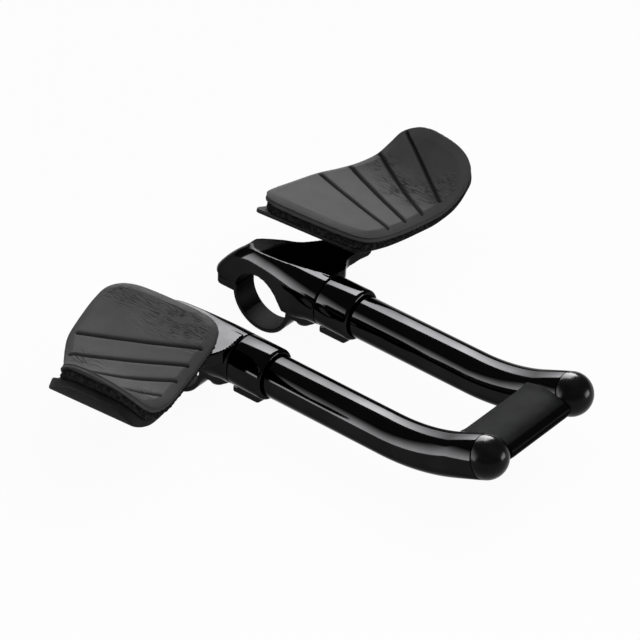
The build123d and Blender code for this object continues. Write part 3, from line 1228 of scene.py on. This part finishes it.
@dataclass
class ClampCap:
    """Lower half of the bar clamp: a strap with two ears, and its screws."""

    y: float = 33.5
    bar_radius: float = 15.9
    strap: float = 2.1
    width: float = 13.6
    face_z: float = 2.2
    ear: float = 4.2
    ears_x: Point2 = (31.0, -31.6)
    bolts_x: Point2 = (23.0, -24.0)
    sunk: Point2 = (0.0, 3.0)
    hole: float = 2.7
    head_room: float = 4.4
    rounding: float = 0.85

    def cap(self) -> bpy.types.Object:
        """Model the strap by spinning its section, then add the ears.

        Returns:
            The cap.
        """
        half = self.width / 2
        deselect()
        bpy.ops.mesh.primitive_plane_add(size=1.0)
        cap = bpy.context.object
        cap.name = "left_strap"
        inner, outer = self.bar_radius, self.bar_radius + self.strap
        set_coords(
            cap,
            np.array(
                [
                    (-inner, self.y - half, 0.0),
                    (-inner, self.y + half, 0.0),
                    (-outer, self.y - half, 0.0),
                    (-outer, self.y + half, 0.0),
                ]
            ),
        )
        with editing(cap, Part.EDGE):
            bpy.ops.mesh.delete(type="ONLY_FACE")
            bpy.ops.mesh.select_all(action="SELECT")
            bpy.ops.mesh.spin(steps=72, angle=math.pi, center=(0, 0, 0), axis=(0, 1, 0))
            bpy.ops.mesh.select_all(action="SELECT")
            bpy.ops.mesh.fill_holes(sides=4)
        settle(cap)
        low = self.face_z - self.ear
        for x_end, x_in in ((self.ears_x[0], inner - 0.6), (self.ears_x[1], -inner + 0.6)):
            ear = block(
                (min(x_end, x_in), self.y - half, low), (max(x_end, x_in), self.y + half, self.face_z)
            )
            with editing(ear, Part.EDGE):
                select_where(
                    ear, Part.EDGE, lambda m: abs(m.x - x_end * MM) < 1e-5 and abs(m.y - self.y * MM) > 5e-3
                )
                bpy.ops.mesh.bevel(offset=(half - 1.0) * MM, segments=12, affect="EDGES")
            settle(ear)
            combine(ear, cylinder(self.bar_radius, 60, (0, self.y, 0), "Y", 144), "DIFFERENCE")
            combine(cap, ear, "UNION")
        for x, depth in zip(self.bolts_x, self.sunk):
            combine(cap, cylinder(self.hole, 30, (x, self.y, 0), "Z", 40), "DIFFERENCE")
            if depth:
                room = cylinder(self.head_room, 20, (x, self.y, low + depth - 10), "Z", 48)
                combine(cap, room, "DIFFERENCE")
        soften(cap, self.rounding, 4, 40)
        smooth(cap, 40)
        return cap

    def screw(self) -> bpy.types.Object:
        """Model one socket head screw along +Z, with its seat at the origin.

        Returns:
            The screw.
        """
        profile = [
            (0.0, -3.6),
            (3.5, -3.6),
            (3.95, -3.46),
            (4.2, -3.0),
            (4.2, -0.25),
            (3.95, 0.0),
            (2.5, 0.0),
            (2.5, 9.0),
            (2.1, 9.4),
            (0.0, 9.4),
        ]
        screw = lathe("screw", profile, 48)
        combine(screw, cylinder(2.3, 5.2, (0, 0, -3.6), "Z", 6), "DIFFERENCE")
        soften(screw, 0.12, 2, 45)
        smooth(screw, 35)
        return screw

    def build(self, wardrobe: Wardrobe) -> None:
        """Model both caps and their screws and dress them.

        Args:
            wardrobe: finishes.
        """
        left = self.cap()
        right = copied(left, "right_strap", MIRROR)
        wardrobe.dress(left, Slot.METAL, ["left_clamp_cap"])
        wardrobe.dress(right, Slot.METAL, ["right_clamp_cap"])
        screw = self.screw()
        seat = self.face_z - self.ear
        for side in Side:
            for where, x, depth in zip(("front", "rear"), self.bolts_x, self.sunk):
                spot = Matrix.Translation(Vector((x, side.value * self.y, seat + depth)) * MM)
                bolt = copied(screw, f"{side.word}_{where}_clamp_screw", spot)
                wardrobe.dress(bolt, Slot.STEEL, [f"{side.word}_clamp_bolts"])
        bpy.data.objects.remove(screw, do_unlink=True)


@dataclass
class SetScrews:
    """Two headless screws a side in the lug."""

    y: float = 33.5
    spots: Point2 = (43.0, 49.6)
    low: float = -2.2
    length: float = 6.1
    radius: float = 2.5

    def screw(self) -> bpy.types.Object:
        """Model one screw with a hex recess in its lower end.

        Returns:
            The screw with its lower end at the origin.
        """
        r, top = self.radius - 0.02, self.length
        profile = [(0.0, 0.0), (r - 0.5, 0.0), (r, 0.5), (r, top - 0.4), (r - 0.4, top), (0.0, top)]
        screw = lathe("grub", profile, 40)
        combine(screw, cylinder(1.45, 4.4, (0, 0, 0), "Z", 6), "DIFFERENCE")
        smooth(screw, 35)
        return screw

    def build(self, wardrobe: Wardrobe) -> None:
        """Model one screw, copy it to each place and dress the copies.

        Args:
            wardrobe: finishes.
        """
        screw = self.screw()
        for side in Side:
            for where, x in zip(("rear", "front"), self.spots):
                spot = Matrix.Translation(Vector((x, side.value * self.y, self.low)) * MM)
                piece = copied(screw, f"{side.word}_{where}_set_screw", spot)
                wardrobe.dress(piece, Slot.STEEL, [f"{side.word}_set_screws"])
        bpy.data.objects.remove(screw, do_unlink=True)


@dataclass
class Armrest:
    """Curved plate, hook sheet and pad of one armrest, modelled flat and then curved."""

    pivot: Point2 = (20.0, 75.0)
    slides: Point2 = (1.3, -1.3)
    yaw: float = 4.2
    valley_q: float = 29.0
    valley_z: float = 38.2
    inner_arc: float = 167.0
    outer_arc: float = 32.5
    pad: float = 5.0
    hook: float = 4.6
    plate: float = 3.2
    seat_z: float = 22.0
    bolt_pitch: float = 13.4
    bevel: Point2 = (4.4, 2.5)
    pad_thins: float = 1.3
    base_thins: float = 3.3
    groove_shade_width: float = 1.9
    groove_shade_depth: float = 1.4
    shoulder: Point2 = (2.0, 0.2)
    swell: float = 0.12
    seam: Point2 = (0.64, 0.55)
    hook_inset: float = 1.4
    hook_end: float = 35.4
    plate_corner: float = 3.4
    grain: float = 0.45
    hook_grain: float = 0.62
    pad_outline: Sequence[Point2] = (
        (-44.0, -45.5),
        (-39.4, -50.8),
        (-32.0, -53.6),
        (-21.5, -54.5),
        (-6.0, -54.6),
        (6.0, -54.4),
        (15.0, -53.0),
        (20.4, -49.8),
        (23.2, -43.5),
        (25.8, -29.0),
        (28.2, -13.0),
        (31.4, 6.0),
        (32.4, 16.0),
        (32.2, 23.0),
        (30.6, 29.0),
        (26.2, 33.6),
        (20.0, 36.6),
        (10.5, 38.6),
        (2.0, 39.2),
        (-5.5, 37.8),
        (-12.8, 33.0),
        (-16.8, 26.0),
        (-20.4, 18.5),
        (-26.3, 10.5),
        (-33.0, 2.0),
        (-39.0, -8.5),
        (-43.2, -24.5),
        (-44.8, -37.0),
    )
    plate_outline: Sequence[Point2] = (
        (-45.4, -52.4),
        (17.0, -52.4),
        (24.5, -8.5),
        (29.6, 13.5),
        (29.4, 27.0),
        (23.0, 31.4),
        (-4.0, 31.7),
        (-14.6, 27.6),
        (-22.6, 22.4),
        (-24.6, 16.0),
    )
    plate_depths: Sequence[Point2] = (
        (-60.0, 2.0), (-30.0, 3.2), (6.0, 3.2), (15.0, 3.9), (24.0, 6.0), (31.7, 4.1),
    )
    worn: dict[int, Sequence[tuple[Point2, Point2]]] = field(
        default_factory=lambda: {
            1: (((8.0, 3.0), (15.0, 8.0)), ((-13.0, 14.0), (6.0, 5.0)), ((24.0, 12.0), (6.0, 8.0))),
            -1: (
                ((4.0, -43.0), (20.0, 10.0)),
                ((-36.0, -46.0), (9.0, 6.0)),
                ((-22.0, 8.0), (10.0, 7.0)),
                ((22.0, 16.0), (8.0, 8.0)),
            ),
        }
    )
    grooves: Sequence[tuple[Point2, Point2]] = (
        ((-35.0, 18.3), (21.8, -4.4)),
        ((-27.5, 33.8), (23.4, 8.4)),
        ((-18.5, 46.5), (25.5, 20.6)),
        ((-9.5, 56.8), (26.6, 34.8)),
    )

    def place(self, side: Side) -> Matrix:
        """Work out the place of the armrest on one side.

        Args:
            side: side of the rider.

        Returns:
            The place in metres.
        """
        slide = self.slides[0] if side is Side.LEFT else self.slides[1]
        spot = Vector((self.pivot[0] + slide, side.value * self.pivot[1], 0)) * MM
        turned = Matrix.Translation(spot) @ Matrix.Rotation(math.radians(self.yaw), 4, "Z")
        return turned if side is Side.LEFT else turned @ MIRROR

    def curve(self, obj: bpy.types.Object) -> None:
        """Curve a flat layer into the cradle.

        Args:
            obj: mesh with x along the arm, y along the section and z the
                height over the pad's top face.
        """
        points = coords(obj)
        along, run, height = points.T
        arc = np.where(run < 0, self.inner_arc, self.outer_arc)
        angle = run / arc
        points[:, 1] = self.valley_q + (arc - height) * np.sin(angle)
        points[:, 2] = self.valley_z + arc - (arc - height) * np.cos(angle)
        set_coords(obj, points)

    @staticmethod
    def towards_lip(run: np.ndarray) -> np.ndarray:
        """Share of the way along the section from the valley to the lip."""
        share = np.clip((run - 12.0) / 24.0, 0, 1)
        return share * share * (3 - 2 * share)

    def depth(self, run: np.ndarray) -> np.ndarray:
        """Thickness of the pad along the section: thinner towards the lip."""
        return self.pad - self.pad_thins * self.towards_lip(run)

    def base(self, run: np.ndarray) -> np.ndarray:
        """Depth of the plate's top below the pad's top face."""
        return self.pad + self.hook - self.base_thins * self.towards_lip(run)

    def unroll(self, spot: Point2) -> Point2:
        """Flatten a point of the plan.

        Args:
            spot: place along and across the arm in mm.

        Returns:
            Its place on the flat layer.
        """
        along, across = spot
        off = across - self.valley_q
        arc = self.inner_arc if off < 0 else self.outer_arc
        return along, arc * math.asin(max(-1.0, min(1.0, off / arc)))

    @staticmethod
    def inset(outline: np.ndarray, amount: float) -> np.ndarray:
        """Draw an outline in, square to its own run.

        Args:
            outline: closed outline in mm.
            amount: distance in mm.

        Returns:
            The smaller outline.
        """
        ahead = np.roll(outline, -1, axis=0) - np.roll(outline, 1, axis=0)
        ahead /= np.linalg.norm(ahead, axis=1, keepdims=True)
        return outline + amount * np.column_stack([-ahead[:, 1], ahead[:, 0]])

    @staticmethod
    def stretch_gap(points: np.ndarray, start: np.ndarray, end: np.ndarray) -> np.ndarray:
        """Measure how far flat points lie from a straight stretch.

        Args:
            points: flat points in mm.
            start: start of the stretch.
            end: end of the stretch.

        Returns:
            One distance for each point.
        """
        run = end - start
        share = np.clip(((points - start) @ run) / (run @ run), 0, 1)
        return np.linalg.norm(points - start - share[:, None] * run, axis=1)

    def rim_distance(self, points: np.ndarray, outline: np.ndarray) -> np.ndarray:
        """Measure how far flat points lie from an outline.

        Args:
            points: flat points in mm.
            outline: closed outline in mm.

        Returns:
            One distance for each point.
        """
        best = np.full(len(points), np.inf)
        for start, end in zip(outline, np.roll(outline, -1, axis=0)):
            best = np.minimum(best, self.stretch_gap(points, start, end))
        return best

    @staticmethod
    def inward(flat: np.ndarray) -> np.ndarray:
        """Unit steps from flat points towards their middle."""
        step = flat.mean(axis=0) - flat
        return step / np.linalg.norm(step, axis=1, keepdims=True)

    @staticmethod
    def ripple(points: np.ndarray, seed: int, size: float) -> np.ndarray:
        """Smooth seeded noise of about -1 to 1 on flat points.

        Args:
            points: flat points in mm.
            seed: number that fixes the pattern.
            size: size of the largest feature in mm.

        Returns:
            One value for each point.
        """
        rng = np.random.default_rng(seed)
        total = np.zeros(len(points))
        for _ in range(14):
            angle, phase = rng.uniform(0, 2 * math.pi, 2)
            wave = 2 * math.pi / (size * rng.uniform(0.6, 1.6))
            total += np.sin(wave * (points @ np.array([math.cos(angle), math.sin(angle)])) + phase)
        return total / 5.0

    def groove_shade_marks(self, flat: np.ndarray) -> tuple[np.ndarray, np.ndarray]:
        """Mark the grooves and their soft shoulders.

        Args:
            flat: flat points in mm.

        Returns:
            Both marks of each point, from 0 to 1.
        """
        mask = np.zeros(len(flat))
        shoulder = np.zeros(len(flat))
        for ends in self.grooves:
            start, end = (np.array(self.unroll(spot)) for spot in ends)
            gap = self.stretch_gap(flat, start, end)
            mask = np.maximum(mask, np.exp(-((gap / (0.52 * self.groove_shade_width)) ** 4)))
            shoulder = np.maximum(shoulder, np.exp(-((gap / self.shoulder[0]) ** 2)))
        return mask, shoulder

    def rim_drop(self, rim: np.ndarray, thick: np.ndarray) -> np.ndarray:
        """Work out the fall of the pad's top towards its rim: a bevel with a soft foot.

        Args:
            rim: distance from the rim in mm.
            thick: thickness of the pad in mm.

        Returns:
            The fall of each point in mm.
        """
        wide, deep = self.bevel
        near = np.clip((wide - rim) / wide, 0, 1)
        return (0.75 * deep * near**1.1 + 0.25 * deep * (1 - np.sqrt(1 - near**2))) * thick / self.pad

    def make_pad(self) -> bpy.types.Object:
        """Model the pad flat: rim, grooves and creases, then curve it.

        Returns:
            The pad about its pivot.
        """
        outline = spline(self.pad_outline, 10, closed=True)
        pad = prism("pad", outline, -self.pad, 0.0)
        apply_modifier(pad, "REMESH", mode="VOXEL", voxel_size=self.grain * MM)
        points = coords(pad)
        flat = points[:, :2]
        rim = self.rim_distance(flat, outline)
        share = np.clip((points[:, 2] + self.pad) / self.pad, 0, 1)
        level = share**3
        thick = self.depth(flat[:, 1])
        mask, shoulder = self.groove_shade_marks(flat)
        inside = np.clip((rim - 1.5) / 4.0, 0, 1)
        soft = self.swell * self.ripple(flat, 5, 26.0) - self.shoulder[1] * shoulder
        top = soft * inside - self.rim_drop(rim, thick) - self.groove_shade_depth * mask
        points[:, 2] = -thick + share * thick + level * top
        # Groove mask, for painted shade and extra roughness in the foam material.
        values = {"groove_shade": mask * level}
        # Wrinkle masks give the foam its crease bump and painted shade along the creases.
        for side in Side:
            values[side.word] = self.wrinkles(flat, self.worn[side.value]) * inside * (1 - mask) * level
        height, depth = self.seam
        notch = np.exp(-(((points[:, 2] + height * thick) / 0.5) ** 2)) * np.exp(-((rim / 0.7) ** 2))
        points[:, :2] += self.inward(flat) * (depth * notch)[:, None]
        set_coords(pad, points)
        for name, value in values.items():
            pad.data.attributes.new(name, "FLOAT", "POINT").data.foreach_set("value", value)
        self.curve(pad)
        smooth(pad, 60)
        return pad

    def wrinkles(self, flat: np.ndarray, fields: Sequence[tuple[Point2, Point2]]) -> np.ndarray:
        """Strength of the fine skin wrinkles.

        Args:
            flat: flat points in mm.
            fields: middle and half widths of each worn patch.

        Returns:
            Strength of each point, from 0 to 1.
        """
        where = np.zeros(len(flat))
        for (cx, cy), (rx, ry) in fields:
            where += np.exp(-(((flat[:, 0] - cx) / rx) ** 2) - ((flat[:, 1] - cy) / ry) ** 2)
        broken = np.clip(0.7 + 0.6 * self.ripple(flat, 23, 9.0), 0, 1)
        return np.clip(1.5 * where, 0, 1) * broken

    def make_hook(self) -> bpy.types.Object:
        """Model the fibre layer with a ragged rim, then curve it.

        Returns:
            The layer about its pivot.
        """
        outline = self.inset(spline(self.pad_outline, 8, closed=True), self.hook_inset)
        outline[:, 1] = np.minimum(outline[:, 1], self.hook_end)
        hook = prism("hook", outline, -self.pad - self.hook, -self.pad + 0.15)
        apply_modifier(hook, "REMESH", mode="VOXEL", voxel_size=self.hook_grain * MM)
        points = coords(hook)
        rim = self.rim_distance(points[:, :2], outline)
        edge = np.exp(-((rim / 0.9) ** 2))
        spots = np.column_stack([points[:, 0] + 3 * points[:, 2], points[:, 1] - 2 * points[:, 2]])
        ragged = 0.4 * self.ripple(spots, 31, 2.6) * edge
        points[:, :2] += self.inward(points[:, :2]) * ragged[:, None]
        run = points[:, 1]
        share = (-self.pad - points[:, 2]) / self.hook
        points[:, 2] = -self.depth(run) - share * (self.base(run) - self.depth(run))
        set_coords(hook, points)
        self.curve(hook)
        smooth(hook, 60)
        return hook

    def make_plate(self) -> bpy.types.Object:
        """Model the plate flat with rounded edges, curve it and add its boss.

        Returns:
            The plate about its pivot.
        """
        top = -self.pad - self.hook
        plate = prism("plate", np.array(self.plate_outline), top - self.plate, top)
        with editing(plate, Part.EDGE):
            middle = (top - self.plate / 2) * MM
            select_where(plate, Part.EDGE, lambda m: abs(m.z - middle) < 1e-5)
            bpy.ops.mesh.bevel(offset=self.plate_corner * MM, segments=6, affect="EDGES", clamp_overlap=True)
        soften(plate, 0.9, 3, 50)
        with editing(plate, Part.FACE):
            for y in np.arange(-51.0, 31.0, 1.6):
                bpy.ops.mesh.select_all(action="SELECT")
                bpy.ops.mesh.bisect(plane_co=(0, y * MM, 0), plane_no=(0, 1, 0))
        settle(plate)
        points = coords(plate)
        below = (top - points[:, 2]) / self.plate * np.interp(points[:, 1], *zip(*self.plate_depths))
        points[:, 2] = -self.base(points[:, 1]) - below
        set_coords(plate, points)
        self.curve(plate)
        combine(plate, self.boss(), "UNION")
        for x in (-self.bolt_pitch / 2, self.bolt_pitch / 2):
            shank = cylinder(3.4, 30, (x, 0, self.seat_z + 10), "Z", 40)
            head = cylinder(5.2, 20, (x, 0, self.seat_z + 11.6), "Z", 40)
            combine(plate, stretch(shank, x, 0.6), "DIFFERENCE")
            combine(plate, stretch(head, x, 0.8), "DIFFERENCE")
        smooth(plate, 40)
        return plate

    def boss(self) -> bpy.types.Object:
        """Model the flat boss that stands on the arm.

        Returns:
            The boss.
        """
        boss = stretch(cylinder(8.0, 8.0, (0, 0, self.seat_z + 4.0), "Z", 64), 0.0, 3.7)
        points = coords(boss)
        across = points[:, 1]
        roof = (
            self.valley_z
            + self.inner_arc
            - np.sqrt((self.inner_arc + self.pad + self.hook + 1.5) ** 2 - (self.valley_q - across) ** 2)
        )
        points[:, 2] = np.where(points[:, 2] > self.seat_z + 4.0, roof, self.seat_z)
        set_coords(boss, points)
        settle(boss)
        return boss

    def build(self, wardrobe: Wardrobe) -> None:
        """Model one armrest and place a copy on each side.

        Args:
            wardrobe: finishes.
        """
        layers = (
            (self.make_plate(), Slot.PLATE, "armrest_plate"),
            (self.make_hook(), Slot.HOOK, "hook_sheet"),
            (self.make_pad(), Slot.FOAM, "pad"),
        )
        for form, slot, node in layers:
            for side in Side:
                piece = copied(form, f"{side.word}_arm_{form.name}", self.place(side))
                wardrobe.dress(piece, slot, [f"{side.word}_{node}"])
                if slot is Slot.FOAM:
                    piece.data.attributes[side.word].name = "wrinkle"
            bpy.data.objects.remove(form, do_unlink=True)


@dataclass
class Bridge:
    """Casting between the two tube tips."""

    half: float = 33.5
    tube: float = 11.12
    top: Sequence[Point2] = (
        (165.3, 29.6),
        (170.0, 31.2),
        (174.5, 32.4),
        (182.3, 33.7),
        (188.8, 33.2),
        (192.6, 31.6),
        (194.1, 29.4),
    )
    nose: Sequence[Point2] = ((194.0, 27.4), (193.0, 25.6), (191.1, 24.6))
    low_x: float = 168.8
    low_z: float = 19.4
    flare_y: float = 19.5
    flare_run: float = 4.0
    flare_rise: float = 0.4

    def build(self, wardrobe: Wardrobe, extension: Extension) -> None:
        """Model the casting, hollow it for both tubes and dress it.

        Args:
            wardrobe: finishes.
            extension: sizes of the tubes that it joins.
        """
        edge = np.vstack(
            [spline([*self.top, *self.nose], 6, False), [[self.low_x, self.low_z]]]
        )
        bridge = side_prism("bridge_casting", edge, -self.half, self.half)
        with editing(bridge, Part.FACE):
            for y in np.linspace(-26, 26, 53):
                bpy.ops.mesh.select_all(action="SELECT")
                bpy.ops.mesh.bisect(plane_co=(0, y * MM, 0), plane_no=(0, 1, 0))
        points = coords(bridge)
        flare = np.clip((np.abs(points[:, 1]) - self.flare_y) / self.flare_run, 0, 1.4) ** 2
        points[:, 2] += np.where(points[:, 2] > self.low_z + 1.0, self.flare_rise, 0.0) * flare
        set_coords(bridge, points)
        for side in Side:
            combine(bridge, self.hollow(extension, side), "DIFFERENCE")
        soften(bridge, 0.5, 2, 40)
        smooth(bridge, 40)
        wardrobe.dress(bridge, Slot.BRIDGE, ["bridge"])

    def hollow(self, extension: Extension, side: Side) -> bpy.types.Object:
        """Solid in the form of one tube and its plug, a little larger.

        Args:
            extension: sizes of the tube.
            side: side of the tube.

        Returns:
            The cutting solid.
        """
        tool = lathe("tool", [(0, -60), (self.tube, -60), (self.tube, 30), (0, 30)], 96)
        tool.data.transform(extension.tip)
        if side is Side.RIGHT:
            tool.data.transform(MIRROR)
            tool.data.flip_normals()
        return tool


class HiddenScrews:
    """Screws under the pads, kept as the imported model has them."""

    def build(self, wardrobe: Wardrobe) -> None:
        """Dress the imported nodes.

        Args:
            wardrobe: finishes.
        """
        for side in Side:
            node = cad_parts[f"{side.word}_armrest_bolts"]
            node.data.materials.clear()
            node.data.materials.append(wardrobe.of(Slot.STEEL))
            LOG.info("%s kept", node.name)


# Studio


@dataclass
class Panel:
    """One soft panel that faces the object, as a light or as a reflection card.

    Its level rises from low to high along its height. A card shows only in
    reflections, and a light only lights.
    """

    name: str
    towards: Point3
    up: Point3
    distance: float
    width: float
    height: float
    low: float
    high: float
    card: bool = True


@dataclass
class Studio:
    """Camera, floor and soft light."""

    eye: Point3 = (1.1453, -1.4121, 1.2989)
    azimuth: float = 37.58
    elevation: float = 35.45
    roll: float = 2.57
    lens: float = 251.45
    floor_z: float = -0.0183
    floor: Point3 = (0.9, 0.9, 0.9)
    even: float = 0.95
    world: float = 0.22
    middle: Point3 = (0.07, 0.0, 0.02)
    panels: Sequence[Panel] = (
        Panel("back_card", (-0.654, 0.572, 0.505), (0.672, 0.297, 0.678), 1.5, 1.11, 1.42, 7.5, 50.0),
        Panel("side_card", (-0.61, -0.74, 0.30), (0.0, 0.0, 1.0), 1.25, 1.15, 0.98, 21.0, 0.0),
        Panel("front_card", (0.82, 0.54, 0.08), (0.0, 0.0, 1.0), 1.4, 0.6, 0.4, 30.0, 17.5),
        Panel("top_panel", (0.36, -0.06, 0.93), (0.0, 1.0, 0.0), 2.4, 1.9, 3.0, 2.6, 2.6, False),
    )

    def camera(self) -> None:
        """Add the camera at the viewing angle."""
        az, el, roll = (math.radians(a) for a in (self.azimuth, self.elevation, self.roll))
        back = Vector((math.sin(az) * math.cos(el), -math.cos(az) * math.cos(el), math.sin(el)))
        level = Vector((math.cos(az), math.sin(az), 0))
        rise = back.cross(level)
        right = math.cos(roll) * level + math.sin(roll) * rise
        up = -math.sin(roll) * level + math.cos(roll) * rise
        deselect()
        bpy.ops.object.camera_add()
        camera = bpy.context.object
        camera.matrix_world = Matrix.Translation(self.eye) @ Matrix((right, up, back)).transposed().to_4x4()
        camera.data.sensor_width = 36.0
        camera.data.lens = self.lens
        camera.data.clip_end = 50.0
        bpy.context.scene.camera = camera

    def ground(self) -> None:
        """Add the plain pale floor."""
        deselect()
        bpy.ops.mesh.primitive_grid_add(
            x_subdivisions=4, y_subdivisions=4, size=14.0, location=(0, 0, self.floor_z)
        )
        floor = bpy.context.object
        floor.name = "floor"
        sheet = Sheet("pale_floor")
        shade = sheet.noise(sheet.place(), 3.0, 2.0)
        light = tuple(min(1.0, c * 1.01) for c in self.floor)
        colour = sheet.mix(shade, self.floor, light)
        lit = sheet.node("ShaderNodeBsdfDiffuse", {}, {"Color": colour})
        seen = sheet.node("ShaderNodeLightPath", output="Is Camera Ray")
        rays = seen.socket.node.outputs
        direct = seen + Wire(sheet, rays["Is Glossy Ray"]) + Wire(sheet, rays["Is Transmission Ray"])
        white = sheet.node("ShaderNodeEmission", {}, {"Color": (1.0, 1.0, 1.0, 1.0), "Strength": 1.0})
        share = sheet.node("ShaderNodeMath", {"operation": "MINIMUM"}, {0: direct, 1: 1.0}) * self.even
        face = sheet.node("ShaderNodeMixShader", {}, {0: share, 1: lit, 2: white})
        sheet.node("ShaderNodeOutputMaterial", {}, {"Surface": face})
        floor.data.materials.append(sheet.material)

    def glow(self, panel: Panel) -> None:
        """Add one light panel with an even or fading face.

        Args:
            panel: place, size and levels of the panel.
        """
        deselect()
        bpy.ops.mesh.primitive_grid_add(x_subdivisions=2, y_subdivisions=2, size=1.0)
        obj = bpy.context.object
        obj.name = panel.name
        facing = -Vector(panel.towards).normalized()
        across = Vector(panel.up).cross(facing).normalized()
        rise = facing.cross(across)
        spot = Vector(self.middle) - facing * panel.distance
        obj.data.transform(Matrix.Diagonal((panel.width, panel.height, 1.0, 1.0)))
        turn = Matrix((across, rise, facing)).transposed().to_4x4()
        obj.matrix_world = Matrix.Translation(spot) @ turn
        sheet = Sheet(panel.name)
        where = sheet.node("ShaderNodeTexCoord", output="Object")
        height = sheet.node("ShaderNodeSeparateXYZ", {}, {"Vector": where}, output="Y")
        fade = sheet.band(height, -panel.height / 2, panel.height / 2)
        power = panel.low + fade * (panel.high - panel.low)
        front = sheet.node("ShaderNodeNewGeometry", output="Backfacing")
        glow = sheet.node("ShaderNodeEmission", {}, {"Strength": power * (1 - front)})
        sheet.node("ShaderNodeOutputMaterial", {}, {"Surface": glow})
        obj.data.materials.append(sheet.material)
        obj.visible_camera = False
        obj.visible_diffuse = not panel.card
        obj.visible_glossy = panel.card
        obj.visible_shadow = False

    def build(self) -> None:
        """Set up camera, floor, panels and the dim room."""
        scene = bpy.context.scene
        scene.view_settings.view_transform = "Standard"
        world = bpy.data.worlds.new("room")
        world.use_nodes = True
        room = world.node_tree.nodes["Background"]
        room.inputs["Color"].default_value = (self.world, self.world, self.world, 1.0)
        scene.world = world
        self.camera()
        self.ground()
        for panel in self.panels:
            self.glow(panel)


def main() -> None:
    """Build every sub-assembly in order, then the studio."""
    logging.basicConfig(level=logging.INFO, format="%(message)s")
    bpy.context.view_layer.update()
    wardrobe = Wardrobe()
    extension = Extension()
    extension.build(wardrobe)
    Bracket().build(wardrobe)
    ClampCap().build(wardrobe)
    SetScrews().build(wardrobe)
    Armrest().build(wardrobe)
    Bridge().build(wardrobe, extension)
    HiddenScrews().build(wardrobe)
    Studio().build()


if __name__ == "__main__":
    main()
